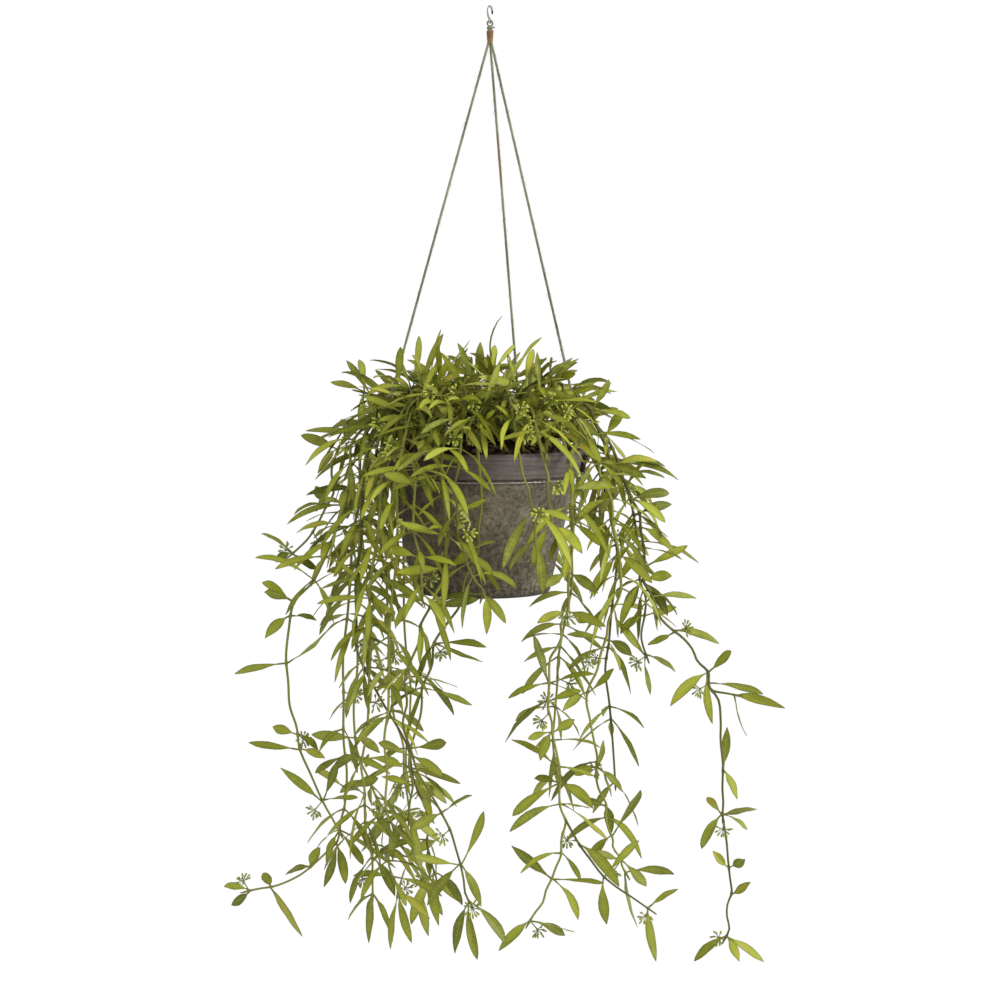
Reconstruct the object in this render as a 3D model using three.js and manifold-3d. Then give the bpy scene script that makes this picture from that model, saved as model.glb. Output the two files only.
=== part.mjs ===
// Hanging potted hoya: a clay pot on three twine ropes, with leafy trailing stems.
// Millimetres, +Z up, +X to the right and +Y away from the viewer.
// The origin is the inner top of the hook's curl, where a ceiling hook bears.
import * as THREE from "three";
import { mergeVertices } from "three/addons/utils/BufferGeometryUtils.js";
import Module from "manifold-3d";

const wasm = await Module();
wasm.setup();

// Driving dimensions of the pot
const POT_X = -7; // the pot hangs this far to the left of the hook's plumb line
const RIM_TOP_Z = -360.5;
const RIM_LOW_Z = -381;
const POT_FOOT_Z = -479;
const RIM_TOP_R = 85;
const RIM_LOW_R = 82;
const BODY_TOP_R = 77;
const BODY_LOW_R = 56.5;
const POT_WALL = 6.5;
const POT_SIDES = 24;

// Driving dimensions of the soil
const SOIL_EDGE_Z = -368;
const SOIL_MOUND = 25; // rise of the mound from the wall to the middle
const SOIL_R = 76;
const HOLE_R = 2.5;
const HOLE_DEPTH = 14;
const FIT_GAP = 0.4;

// Driving dimensions of the hanger
const WIRE_RING_R = 79.4;
const WIRE_RING_Z = -383.4;
const WIRE_R = 0.7;
const ROPE_R = 1.15;
const ROPE_TURNS = { rope_left: 184, rope_right: -13, rope_back: 67 };
const ROPE_TOP_TURNS = { rope_left: 195, rope_right: -30, rope_back: 80 };
const ROPE_TOP_Z = -30.6;
const ROPE_TOP_R = 1.75;
const LASH_R = 2.2;
const WHIP_TOP_Z = -18.6;
const WHIP_LOW_Z = -30;
const WHIP_R = 3.2;
const HOOK_WIRE_R = 0.75;
const HOOK_IN_R = 4.2; // inner radius of the hook's open curl
const HOOK_EYE_R = 1.9;
const HOOK_EYE_Z = -10.95;
const LOOP_R = 2.2;
const LOOP_Z = -13.2;
const LOOP_WIRE_R = 0.8;
const HOOK_TURN = 68; // the curl stands this many degrees out of the view's plane

// Driving dimensions of the plant
const STEM_R = 1.25;
const STEM_TIP_R = 0.85;
const LEAF_LONG = 47;
const LEAF_SHORT = 28;
const LEAF_WIDTH = 6.5;
const LEAF_THICK = 0.66; // half the thickness at the midrib
const WHORL_GAP = 25;
const WANDER = 2.6; // how far a stem strays from its planned line beyond the rim
const KEEP_CLEAR = 0.8; // least distance between two leaves of different stems
const KEPT_EACH = 5; // of the whorls by the rule, a trailing stem carries each fifth one

// The trailing stems. turn is the direction in plan in which a stem leaves the pot and foot its
// distance from the pot's axis where it stands in the soil. way is its route beyond the rim. tips
// are leaves by the height of their whorl, each as its reach across and up. wild are the height
// bands where the leaves come by the rule alone, and buds the heights of the umbels.
const STEMS = [
  {
    "name": "stem_left_far", "turn": 168, "foot": 52, "top": -318, "seed": 11,
    "way": [[-118, 12, -338], [-128, 12, -362], [-131, 10, -397], [-144, 8, -423], [-165, 6, -451]],
    "tips": [[-362, [-29, 12], [-17, -21]], [-389, [26, -20]], [-408, [-26, -8], [-9, 15]],
      [-449, [-26, 15], [19, -13], [-14, -8]]],
    "wild": [[-300, -352]], "buds": [-430, -446], "twigs": []
  },
  {
    "name": "stem_left_long", "turn": 193, "foot": 60, "top": -322, "seed": 12,
    "way": [[-110, -34, -350], [-118, -42, -400], [-134, -47, -452], [-157, -47, -483],
      [-168, -45, -528], [-162, -43, -568], [-153, -42, -604], [-139, -42, -647], [-124, -42, -676]],
    "tips": [[-483, [-24, 17], [-24, 7]], [-494, [-19, -17], [20, -4]], [-533, [-40, -7], [30, 24]],
      [-592, [-19, 7], [16, -12]], [-604, [-40, 7], [20, -7]], [-647, [-32, 31], [28, 1], [12, 34]],
      [-673, [20, -24], [-10, -30]]],
    "wild": [[-300, -470]], "buds": [-600, -640], "twigs": []
  },
  {
    "name": "stem_left_sweep", "turn": 176, "foot": 38, "top": -312, "seed": 13,
    "way": [[-104, -3, -350], [-108, -12, -400], [-114, -16, -460], [-121, -20, -530],
      [-122, -22, -600], [-119, -22, -652], [-128, -22, -684], [-149, -24, -708],
      [-176, -26, -721], [-203, -28, -726]],
    "tips": [[-640, [26, 10], [-22, 14]], [-686, [-12, -40], [8, -30]], [-706, [-21, -9], [8, 14]],
      [-722, [26, -39], [-6, 12]], [-725, [-16, -13], [-20, 5]]],
    "wild": [[-300, -420], [-490, -620]], "buds": [-560, -724], "twigs": []
  },
  {
    "name": "stem_left_inner", "turn": 156, "foot": 58, "top": -320, "seed": 14,
    "way": [[-100, 32, -352], [-108, 30, -400], [-112, 28, -460], [-114, 26, -522],
      [-115, 24, -574], [-111, 22, -620], [-97, 20, -656], [-78, 18, -691], [-57, 16, -728]],
    "tips": [[-606, [-35, 5], [20, -12]], [-640, [-24, -14], [22, 12]], [-676, [-18, -22], [24, 8]],
      [-706, [-24, 4], [22, 12]], [-726, [7, -44], [18, -29], [32, -24]]],
    "wild": [[-300, -410], [-490, -575]], "buds": [-620, -724], "twigs": []
  },
  {
    "name": "stem_left_low", "turn": 212, "foot": 47, "top": -316, "seed": 15,
    "way": [[-84, -70, -360], [-90, -74, -420], [-94, -74, -480], [-96, -72, -540],
      [-98, -68, -580], [-104, -66, -614], [-101, -64, -650], [-97, -62, -690], [-93, -60, -724]],
    "tips": [[-690, [-16, -34], [18, -30]], [-720, [-4, -44], [16, -36], [-20, -24]]],
    "wild": [[-300, -400], [-470, -670]], "buds": [-560, -704], "twigs": []
  },
  {
    "name": "stem_left_bush", "turn": 222, "foot": 62, "top": -324, "seed": 16,
    "way": [[-70, -84, -360], [-74, -90, -420], [-78, -90, -480], [-82, -86, -540],
      [-83, -82, -590], [-84, -80, -640], [-80, -78, -690], [-74, -76, -718]],
    "tips": [[-714, [-6, -42], [10, -44], [24, -20]]],
    "wild": [[-300, -400], [-480, -700]], "buds": [-520, -640, -708], "twigs": []
  },
  {
    "name": "stem_left_back", "turn": 144, "foot": 44, "top": -314, "seed": 17,
    "way": [[-88, 58, -354], [-94, 60, -420], [-90, 58, -480], [-84, 54, -540], [-80, 46, -590],
      [-74, 42, -640], [-70, 38, -690], [-66, 36, -714]],
    "tips": [[-710, [-12, -36], [16, -40]]],
    "wild": [[-300, -430], [-480, -700]], "buds": [-540], "twigs": []
  },
  {
    "name": "stem_left_middle", "turn": 202, "foot": 36, "top": -308, "seed": 18,
    "way": [[-96, -50, -356], [-104, -56, -400], [-106, -60, -460], [-108, -58, -520],
      [-70, -42, -600], [-52, -38, -660], [-46, -38, -712]],
    "tips": [[-708, [-18, -38], [4, -46], [22, -30]]],
    "wild": [[-300, -540], [-560, -690]], "buds": [-510, -660], "twigs": []
  },
  {
    "name": "stem_front_trail", "turn": 249, "foot": 52, "top": -322, "seed": 21,
    "way": [[-38, -94, -366], [-35, -97, -409], [-31, -97, -428], [-36, -94, -452],
      [-47, -90, -482], [-58, -94, -508], [-66, -98, -540], [-69, -98, -574], [-56, -94, -613],
      [-38, -90, -647], [-28, -88, -676], [-22, -86, -702], [-14, -86, -724]],
    "tips": [[-425, [22, -24], [-39, 14]], [-450, [-40, -3], [21, 13]],
      [-481, [-30, 22], [38, 9], [16, -40]], [-600, [-26, 12], [24, -14]],
      [-647, [24, 16], [-24, -12]], [-689, [-37, 10], [18, 45], [-26, -35], [16, -32]],
      [-720, [29, -34], [-11, -44], [7, -45]]],
    "wild": [[-300, -400], [-520, -590]], "buds": [-409, -660, -716], "twigs": []
  },
  {
    "name": "stem_front_short", "turn": 258, "foot": 36, "top": -312, "seed": 22,
    "way": [[-24, -97, -366], [-26, -103, -400], [-20, -106, -437], [-9, -103, -460],
      [-5, -100, -474]],
    "tips": [[-404, [22, 10], [-14, -26]], [-437, [24, 8], [22, -16]],
      [-470, [-42, -12], [2, -30], [17, -24]]],
    "wild": [[-300, -376]], "buds": [-420], "twigs": []
  },
  {
    "name": "stem_front_low", "turn": 268, "foot": 60, "top": -326, "seed": 23,
    "way": [[-9, -92, -362], [-7, -87, -400], [-12, -82, -440], [-24, -80, -480],
      [-42, -76, -512], [-52, -70, -549], [-58, -62, -575], [-62, -60, -600], [-65, -58, -630],
      [-64, -58, -662]],
    "tips": [[-512, [41, -2], [38, -12], [-15, -37]], [-549, [39, -17], [-24, -16]],
      [-600, [28, 6], [-22, -12]], [-630, [26, -18], [-24, 8]],
      [-658, [10, -40], [-16, -34], [24, -22]]],
    "wild": [[-300, -360]], "buds": [-505, -640], "twigs": []
  },
  {
    "name": "stem_front_right", "turn": 290, "foot": 40, "top": -310, "seed": 24,
    "way": [[24, -92, -364], [31, -97, -388], [37, -97, -406], [39, -96, -432]],
    "tips": [[-404, [-24, -45], [29, -46], [28, -8]], [-428, [6, -44], [-20, -24]]],
    "wild": [[-300, -364]], "buds": [-397], "twigs": []
  },
  {
    "name": "stem_front_side", "turn": 303, "foot": 62, "top": -324, "seed": 25,
    "way": [[42, -82, -362], [46, -88, -392], [49, -88, -420]],
    "tips": [[-416, [14, -40], [24, -24], [-14, -34]]],
    "wild": [[-300, -366]], "buds": [-380], "twigs": []
  },
  {
    "name": "stem_front_left", "turn": 237, "foot": 32, "top": -310, "seed": 26,
    "way": [[-58, -88, -364], [-60, -96, -400], [-57, -102, -440], [-55, -104, -474]],
    "tips": [[-384, [29, -7], [-24, 10]], [-400, [26, -26], [-22, -18]],
      [-440, [-26, 6], [28, -6]], [-470, [-20, -24], [18, -26]]],
    "wild": [[-300, -372]], "buds": [-412, -455], "twigs": []
  },
  {
    "name": "stem_right_long", "turn": 318, "foot": 56, "top": -320, "seed": 31,
    "way": [[62, -66, -360], [66, -69, -400], [63, -66, -456], [61, -62, -487], [57, -60, -509],
      [48, -58, -528], [49, -56, -568], [51, -55, -590], [54, -54, -614], [59, -54, -640],
      [61, -54, -662], [58, -54, -689], [51, -54, -709], [41, -54, -728], [31, -54, -748]],
    "tips": [[-389, [35, 0]], [-457, [22, -15], [-20, -10]], [-488, [-24, -9], [14, -10], [29, -11]],
      [-547, [-32, -12], [-12, 37], [35, 10], [31, -13]], [-562, [-34, -32], [26, 8]],
      [-588, [-19, -4], [17, 10], [-9, -22]], [-616, [-38, 20], [28, -7]],
      [-630, [-38, -24], [26, -22], [-20, 2]], [-647, [24, -5], [38, -29], [-40, -20]],
      [-709, [-32, 25], [41, 0], [21, -36]], [-744, [35, -6], [28, -16], [-25, -22]]],
    "wild": [[-300, -380], [-400, -440]], "buds": [-497, -555, -572, -671, -745],
    "twigs": [{
      "from": -659,
      "way": [[66, -56, -668], [73, -58, -680], [82, -60, -692], [92, -60, -705],
        [104, -60, -715], [116, -60, -723], [133, -60, -735]],
      "tips": [[-680, [31, -30]], [-706, [27, 31], [3, -40]], [-732, [24, 14], [6, -38]]],
      "buds": [-734]
    }]
  },
  {
    "name": "stem_right_inner", "turn": 40, "foot": 54, "top": -318, "seed": 32,
    "way": [[66, 60, -360], [72, 64, -420], [67, 62, -480], [59, 56, -540], [55, 52, -590],
      [57, 48, -644]],
    "tips": [[-640, [14, -36], [-20, -26]]],
    "wild": [[-300, -420], [-480, -630]], "buds": [-560], "twigs": []
  },
  {
    "name": "stem_right_side", "turn": 334, "foot": 46, "top": -312, "seed": 33,
    "way": [[84, -46, -358], [99, -48, -400], [105, -46, -440], [105, -44, -469],
      [101, -42, -489], [94, -40, -511], [86, -38, -540], [81, -36, -565], [83, -34, -590],
      [87, -32, -614], [91, -30, -640], [97, -28, -662], [101, -26, -682], [106, -24, -698],
      [112, -22, -714]],
    "tips": [[-444, [25, -21], [-23, -35]], [-514, [-31, 5], [20, -12], [12, -28]],
      [-558, [20, 22], [-20, -14]], [-621, [-17, -6], [5, 24], [20, -18]],
      [-654, [4, -24], [-20, 6]], [-679, [22, 41], [-16, -20]], [-700, [-22, 8], [20, -20]],
      [-711, [40, -3], [10, -43]]],
    "wild": [[-300, -430], [-460, -500]], "buds": [-532, -625, -706], "twigs": []
  },
  {
    "name": "stem_right_back", "turn": 22, "foot": 60, "top": -322, "seed": 34,
    "way": [[84, 36, -358], [98, 38, -400], [106, 36, -450], [104, 34, -500], [99, 32, -550],
      [101, 32, -600], [106, 32, -650]],
    "tips": [[-646, [18, -34], [-18, -28]]],
    "wild": [[-300, -460], [-490, -640]], "buds": [-430, -540], "twigs": []
  },
  {
    "name": "stem_right_far", "turn": 352, "foot": 40, "top": -306, "seed": 35,
    "way": [[81, -18, -327], [92, -20, -349], [103, -21, -372], [113, -21, -393],
      [120, -21, -412], [124, -21, -440], [127, -21, -468], [136, -21, -490],
      [149, -21, -507], [167, -21, -525], [178, -21, -544], [186, -21, -567],
      [189, -21, -601], [191, -21, -640], [193, -21, -664], [197, -21, -702],
      [200, -21, -728], [199, -21, -748], [196, -21, -769]],
    "tips": [[-329, [13, 26], [31, -6]], [-351, [-20, 18], [16, 22]], [-373, [36, 1], [-12, -26]],
      [-389, [14, 18], [-20, -12]], [-401, [30, 4], [26, -19]], [-412, [-14, -28], [26, 6]],
      [-424, [26, -20]], [-441, [30, -9], [-18, -24]], [-456, [35, 16]],
      [-468, [22, 4], [-18, -37], [-14, -30]], [-510, [37, -12], [-22, -10]],
      [-544, [17, 19], [-31, -26], [6, -46]], [-553, [42, -6]], [-625, [4, 34], [10, -22]],
      [-662, [-12, 13], [26, 7], [19, -12], [-17, -27]], [-707, [-13, 15], [12, 8]],
      [-729, [14, 12]], [-765, [-26, -20], [32, -25], [10, -20]]],
    "wild": [[-295, -320]], "buds": [-340, -395, -435, -515, -561, -668, -766],
    "twigs": [{
      "from": -559,
      "way": [[188, -23, -560], [196, -24, -561], [205, -25, -563]],
      "tips": [[-562.3, [41, -10], [12, -36]]],
      "buds": []
    }]
  },
  {
    "name": "stem_right_hub", "turn": 8, "foot": 58, "top": -320, "seed": 36,
    "way": [[92, 10, -346], [112, 10, -388], [122, 8, -430], [127, 6, -470], [127, 4, -500],
      [129, 2, -537]],
    "tips": [[-470, [-16, -8], [22, -30]], [-500, [26, 6], [-20, -14]],
      [-533, [-24, 30], [24, -15], [4, -32]]],
    "wild": [[-300, -455]], "buds": [-524], "twigs": []
  },
  {
    "name": "stem_back_right", "turn": 58, "foot": 44, "top": -312, "seed": 41,
    "way": [[42, 90, -360], [46, 94, -420], [44, 92, -464]],
    "tips": [], "wild": [[-300, -480]], "buds": [-400], "twigs": []
  },
  {
    "name": "stem_back_middle", "turn": 84, "foot": 60, "top": -322, "seed": 42,
    "way": [[2, 94, -362], [4, 98, -410], [2, 96, -452]],
    "tips": [], "wild": [[-300, -470]], "buds": [-420], "twigs": []
  },
  {
    "name": "stem_back_left", "turn": 106, "foot": 46, "top": -314, "seed": 43,
    "way": [[-36, 92, -362], [-40, 96, -410], [-42, 94, -458]],
    "tips": [], "wild": [[-300, -470]], "buds": [-390], "twigs": []
  },
  {
    "name": "stem_back_long", "turn": 126, "foot": 60, "top": -322, "seed": 44,
    "way": [[-66, 80, -360], [-72, 84, -420], [-73, 82, -480], [-72, 80, -540], [-70, 76, -600],
      [-73, 72, -652]],
    "tips": [[-648, [-14, -34], [20, -28]]],
    "wild": [[-300, -640]], "buds": [-470], "twigs": []
  }
];

// The upright shoots: direction and distance of the foot in plan, outward lean of the tip and
// height of the tip.
const SHOOTS = [
  {"name": "shoot_01", "turn": 30, "foot": 14, "lean": 20, "top": -300, "seed": 61},
  {"name": "shoot_02", "turn": 96, "foot": 24, "lean": 26, "top": -302, "seed": 62},
  {"name": "shoot_03", "turn": 160, "foot": 18, "lean": 34, "top": -300, "seed": 63},
  {"name": "shoot_04", "turn": 214, "foot": 22, "lean": 40, "top": -306, "seed": 64},
  {"name": "shoot_05", "turn": 264, "foot": 20, "lean": 30, "top": -304, "seed": 65},
  {"name": "shoot_06", "turn": 312, "foot": 26, "lean": 34, "top": -306, "seed": 66},
  {"name": "shoot_07", "turn": 350, "foot": 22, "lean": 34, "top": -298, "seed": 67},
  {"name": "shoot_08", "turn": 50, "foot": 32, "lean": 40, "top": -314, "seed": 68},
  {"name": "shoot_09", "turn": 134, "foot": 34, "lean": 44, "top": -314, "seed": 69},
  {"name": "shoot_10", "turn": 189, "foot": 30, "lean": 74, "top": -312, "seed": 70},
  {"name": "shoot_11", "turn": 0, "foot": 5, "lean": 3, "top": -284, "seed": 81}
];

// Small vector helpers on [x, y, z]
const add = (a, b) => [a[0] + b[0], a[1] + b[1], a[2] + b[2]];
const sub = (a, b) => [a[0] - b[0], a[1] - b[1], a[2] - b[2]];
const mul = (a, k) => [a[0] * k, a[1] * k, a[2] * k];
const dot = (a, b) => a[0] * b[0] + a[1] * b[1] + a[2] * b[2];
const size = (a) => Math.sqrt(dot(a, a));
const unit = (a) => mul(a, 1 / size(a));
const cross = (a, b) => [
  a[1] * b[2] - a[2] * b[1],
  a[2] * b[0] - a[0] * b[2],
  a[0] * b[1] - a[1] * b[0],
];
const deg = (a) => (a * Math.PI) / 180;

// A seeded draw between 0 and 1
function dice(seed) {
  let state = seed * 7919 + 104729;
  return () => {
    state = (state * 16807) % 2147483647;
    return state / 2147483647;
  };
}

function soilTop(rho) {
  const share = Math.min(rho / SOIL_R, 1);
  return SOIL_EDGE_Z + SOIL_MOUND * (1 - share * share);
}

// A smooth route through the given points, with its length and a frame carried along it
function smoothRoute(points) {
  const at = [];
  const steps = 12;
  for (let i = 0; i + 1 < points.length; i++) {
    const a = points[Math.max(i - 1, 0)];
    const b = points[i];
    const c = points[i + 1];
    const d = points[Math.min(i + 2, points.length - 1)];
    for (let k = 0; k < steps; k++) {
      const t = k / steps;
      const p = [0, 1, 2].map(
        (j) =>
          0.5 *
          (2 * b[j] +
            (c[j] - a[j]) * t +
            (2 * a[j] - 5 * b[j] + 4 * c[j] - d[j]) * t * t +
            (3 * b[j] - a[j] - 3 * c[j] + d[j]) * t * t * t),
      );
      at.push(p);
    }
  }
  at.push(points[points.length - 1]);
  const far = [0];
  for (let i = 1; i < at.length; i++) {
    far.push(far[i - 1] + size(sub(at[i], at[i - 1])));
  }
  const along = at.map((_, i) =>
    unit(sub(at[Math.min(i + 1, at.length - 1)], at[Math.max(i - 1, 0)])),
  );
  const side = [];
  let last = [0.8, 0.6, 0];
  for (let i = 0; i < at.length; i++) {
    last = unit(sub(last, mul(along[i], dot(last, along[i]))));
    side.push(last);
  }
  return { at, far, along, side, length: far[far.length - 1] };
}

// The point, direction and side vectors of a route at a distance along it
function spot(route, d) {
  let i = 0;
  while (i < route.far.length - 2 && route.far[i + 1] < d) {
    i += 1;
  }
  const span = route.far[i + 1] - route.far[i];
  const t = Math.min(Math.max((d - route.far[i]) / span, 0), 1);
  const mix = (a, b) => add(mul(a, 1 - t), mul(b, t));
  const p = mix(route.at[i], route.at[i + 1]);
  const along = unit(mix(route.along[i], route.along[i + 1]));
  const rough = mix(route.side[i], route.side[i + 1]);
  const side = unit(sub(rough, mul(along, dot(rough, along))));
  return { p, along, side, other: cross(along, side) };
}

// The distance along a route at which it last comes down to a height
function whereAt(route, z) {
  let found = route.length - 4;
  for (let i = 1; i < route.at.length; i++) {
    const a = route.at[i - 1][2];
    const b = route.at[i][2];
    if (a > z && b <= z) {
      found = route.far[i - 1] + ((a - z) / (a - b)) * (route.far[i] - route.far[i - 1]);
    }
  }
  return Math.min(found, route.length - 4);
}

// The way of a stem with a point more between each two, all but the first strayed by the draw
function strayed(stem) {
  const roll = dice(stem.seed + 77);
  const points = [];
  stem.way.forEach((p, i) => {
    const much = i === 0 ? 0 : WANDER;
    points.push(add(p, [(roll() * 2 - 1) * much, (roll() * 2 - 1) * much, 0]));
    if (i + 1 < stem.way.length) {
      const half = mul(add(p, stem.way[i + 1]), 0.5);
      points.push(add(half, [(roll() * 2 - 1) * WANDER, (roll() * 2 - 1) * WANDER, 0]));
    }
  });
  return points;
}

// The whole route of a trailing stem, from its hole in the soil over the rim
function stemRoute(stem) {
  const c = Math.cos(deg(stem.turn));
  const s = Math.sin(deg(stem.turn));
  const ground = soilTop(stem.foot);
  const out = (rho, z) => [POT_X + rho * c, rho * s, z];
  const rise = [
    out(stem.foot, ground - HOLE_DEPTH + 1.5),
    out(stem.foot, ground - 2),
    out(stem.foot, ground + 6),
    out(stem.foot + 1.5, ground + 14),
    out(stem.foot + (86 - stem.foot) * 0.45, stem.top),
  ];
  return smoothRoute([...rise, ...strayed(stem)]);
}

// The whole route of an upright shoot
function shootRoute(shoot) {
  const c = Math.cos(deg(shoot.turn));
  const s = Math.sin(deg(shoot.turn));
  const ground = soilTop(shoot.foot);
  const out = (rho, z) => [POT_X + rho * c, rho * s, z];
  return smoothRoute([
    out(shoot.foot, ground - HOLE_DEPTH + 1.5),
    out(shoot.foot, ground - 2),
    out(shoot.foot, ground + 6),
    out(shoot.foot + 1, ground + 14),
    out(shoot.foot + shoot.lean * 0.26, ground + (shoot.top - ground) * 0.62),
    out(shoot.foot + shoot.lean, shoot.top),
  ]);
}

// Everything that leaves keep clear of, as balls along its middle
const taken = [];

function takeBall(p, r, owner) {
  taken.push({ p, r, owner });
}

function takeRoute(route, r, owner) {
  for (let d = 0; d <= route.length; d += 4) {
    takeBall(spot(route, d).p, r, owner);
  }
  const tip = spot(route, route.length);
  takeBall(add(tip.p, mul(tip.along, 3)), r, owner);
}

function bodyRadius(z) {
  const share = (RIM_LOW_Z - z) / (RIM_LOW_Z - POT_FOOT_Z);
  return BODY_TOP_R + (BODY_LOW_R - BODY_TOP_R) * share;
}

// Whether a ball of radius r at p stays off the pot and the soil
function offPot(p, r) {
  const rho = Math.sqrt((p[0] - POT_X) * (p[0] - POT_X) + p[1] * p[1]);
  const z = p[2];
  const gap = r * 0.8 + 0.7;
  if (z < POT_FOOT_Z - gap) {
    return rho > 60 || z < POT_FOOT_Z - 8;
  }
  if (z > RIM_TOP_Z + gap) {
    return rho > RIM_TOP_R || z > soilTop(rho) + gap;
  }
  const outer = z > RIM_LOW_Z - gap ? RIM_TOP_R + 1.5 : bodyRadius(z) + 0.5;
  if (rho > outer + gap) {
    return true;
  }
  return rho < SOIL_R - gap && z > soilTop(rho) + gap;
}

// Whether balls along a leaf or umbel stay clear of all that is taken
function isFree(balls, root, owner) {
  for (const b of balls) {
    if (!offPot(b.p, b.r)) {
      return false;
    }
  }
  for (const t of taken) {
    const own = t.owner === owner;
    if (own && size(sub(t.p, root)) < 9) {
      continue;
    }
    const gap = own ? 0.3 : KEEP_CLEAR;
    for (const b of balls) {
      const need = t.r + b.r + gap;
      const dx = t.p[0] - b.p[0];
      if (dx > need || dx < -need) {
        continue;
      }
      const dy = t.p[1] - b.p[1];
      const dz = t.p[2] - b.p[2];
      if (dx * dx + dy * dy + dz * dz < need * need) {
        return false;
      }
    }
  }
  return true;
}

// The half width of a blade at a share of its length: petiole, lance-shaped blade, fine tip
function halfWidth(leaf, t) {
  if (t < 0.14) {
    return 0.75;
  }
  const u = (t - 0.14) / 0.86;
  const shape = 2.6 * Math.pow(u, 0.75) * Math.pow(1 - u, 0.8);
  return Math.max(0.3, Math.min(1, shape) * leaf.width * 0.5);
}

// A leaf from its root, reach, outward direction off the stem, arch, roll and width
function makeLeaf(root, reach, outward, arch, roll, width) {
  const long = size(reach);
  const bow = add(mul(outward, long * 0.12), [0, 0, arch * long]);
  const knee = add(root, add(mul(reach, 0.45), bow));
  const tip = add(root, reach);
  const front = root[1] < 12 ? -0.9 : 0.9;
  const sky = [root[0] > 0 ? 0.25 : -0.25, front, 0.75];
  const dir = unit(reach);
  let flat = sub(sky, mul(dir, dot(sky, dir)));
  if (size(flat) < 0.2) {
    flat = cross(dir, [1, 0, 0]);
  }
  const up = unit(flat);
  const across = cross(up, dir);
  const cr = Math.cos(roll);
  const sr = Math.sin(roll);
  return {
    root,
    knee,
    tip,
    dir,
    long,
    width,
    across: add(mul(across, cr), mul(up, sr)),
    up: sub(mul(up, cr), mul(across, sr)),
  };
}

function leafPoint(leaf, t) {
  const a = (1 - t) * (1 - t);
  const b = 2 * t * (1 - t);
  return add(add(mul(leaf.root, a), mul(leaf.knee, b)), mul(leaf.tip, t * t));
}

function leafBalls(leaf) {
  return [0.18, 0.3, 0.42, 0.54, 0.66, 0.78, 0.9, 1].map((t) => ({
    p: leafPoint(leaf, t),
    r: Math.max(halfWidth(leaf, t) * 0.93, 0.9),
  }));
}

// Tries a leaf with ever other turns until it is clear, and keeps its place
function placeLeaf(tries, owner, root) {
  for (const leaf of tries) {
    const balls = leafBalls(leaf);
    if (isFree(balls, root, owner)) {
      balls.forEach((b) => takeBall(b.p, b.r, owner));
      return leaf;
    }
  }
  return null;
}

// A leaf whose reach across and up is given. The draw gives its depth, arch, roll and width.
function leafByReach(plant, at, reach, roll) {
  const flat = Math.sqrt(reach[0] * reach[0] + reach[1] * reach[1]);
  const side = at.p[1] < 0 ? -1 : 1;
  const depth = flat * (0.1 + 0.4 * roll()) * (roll() < 0.7 ? side : -side);
  const arch = 0.02 + 0.14 * roll();
  const turn = (roll() - 0.5) * 1.8;
  const width = LEAF_WIDTH * (0.84 + 0.3 * roll());
  const tries = [
    [depth, 1], [-depth, 1], [depth * 2, 1], [-depth * 2, 1], [depth * 0.2, 0.9],
    [depth + 14, 0.9], [depth - 14, 0.9], [depth + 24, 0.85], [depth - 24, 0.85],
    [depth, 0.7], [-depth, 0.7],
  ].map(([dy, k]) => {
    const aim = [reach[0] * k, dy, reach[1] * k];
    const across = sub(aim, mul(at.along, dot(aim, at.along)));
    const outward = size(across) > 4 ? unit(across) : at.side;
    return makeLeaf(add(at.p, outward), aim, outward, arch, turn, width);
  });
  return placeLeaf(tries, plant.name, at.p);
}

// A leaf by the rule: turned round the stem, with a drawn length, tilt, arch, roll and width
function leafByRule(plant, at, turn, roll) {
  const long = LEAF_SHORT + (LEAF_LONG - LEAF_SHORT) * roll();
  const tilt = -0.2 + 1.4 * roll();
  const lift = 0.3 * roll() - 0.25;
  const arch = 0.03 + 0.2 * roll();
  const twist = (roll() - 0.5) * 2.4;
  const width = LEAF_WIDTH * (0.8 + 0.34 * roll());
  const tries = [0, 24, -24, 48, -48, 75, -75, 110, -110].map((shift, i) => {
    const a = turn + deg(shift);
    const k = 1 - 0.035 * i;
    const outward = add(mul(at.side, Math.cos(a)), mul(at.other, Math.sin(a)));
    const aim = unit(add(add(outward, mul(at.along, tilt)), [0, 0, lift]));
    return makeLeaf(add(at.p, outward), mul(aim, long * k), outward, arch, twist, width);
  });
  return placeLeaf(tries, plant.name, at.p);
}

// An umbel on its stalk, turned round the stem to where it is clear
function placeUmbel(plant, at, roll) {
  const first = roll() * Math.PI * 2;
  const drop = 0.5 * roll() - 0.1;
  const stalk = 8 + 3 * roll();
  for (const shift of [0, 50, -50, 100, -100, 150, -150, 180]) {
    const a = first + deg(shift);
    const outward = add(mul(at.side, Math.cos(a)), mul(at.other, Math.sin(a)));
    const aim = unit(add(outward, add(mul(at.along, 0.3), [0, 0, -drop])));
    const balls = [
      { p: add(at.p, mul(aim, stalk * 0.7)), r: 1.2 },
      { p: add(at.p, mul(aim, stalk + 2.5)), r: 4.6 },
    ];
    if (isFree(balls, at.p, plant.name)) {
      balls.forEach((b) => takeBall(b.p, b.r, plant.name));
      return { root: at.p, aim, outward, stalk };
    }
  }
  return null;
}

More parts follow.
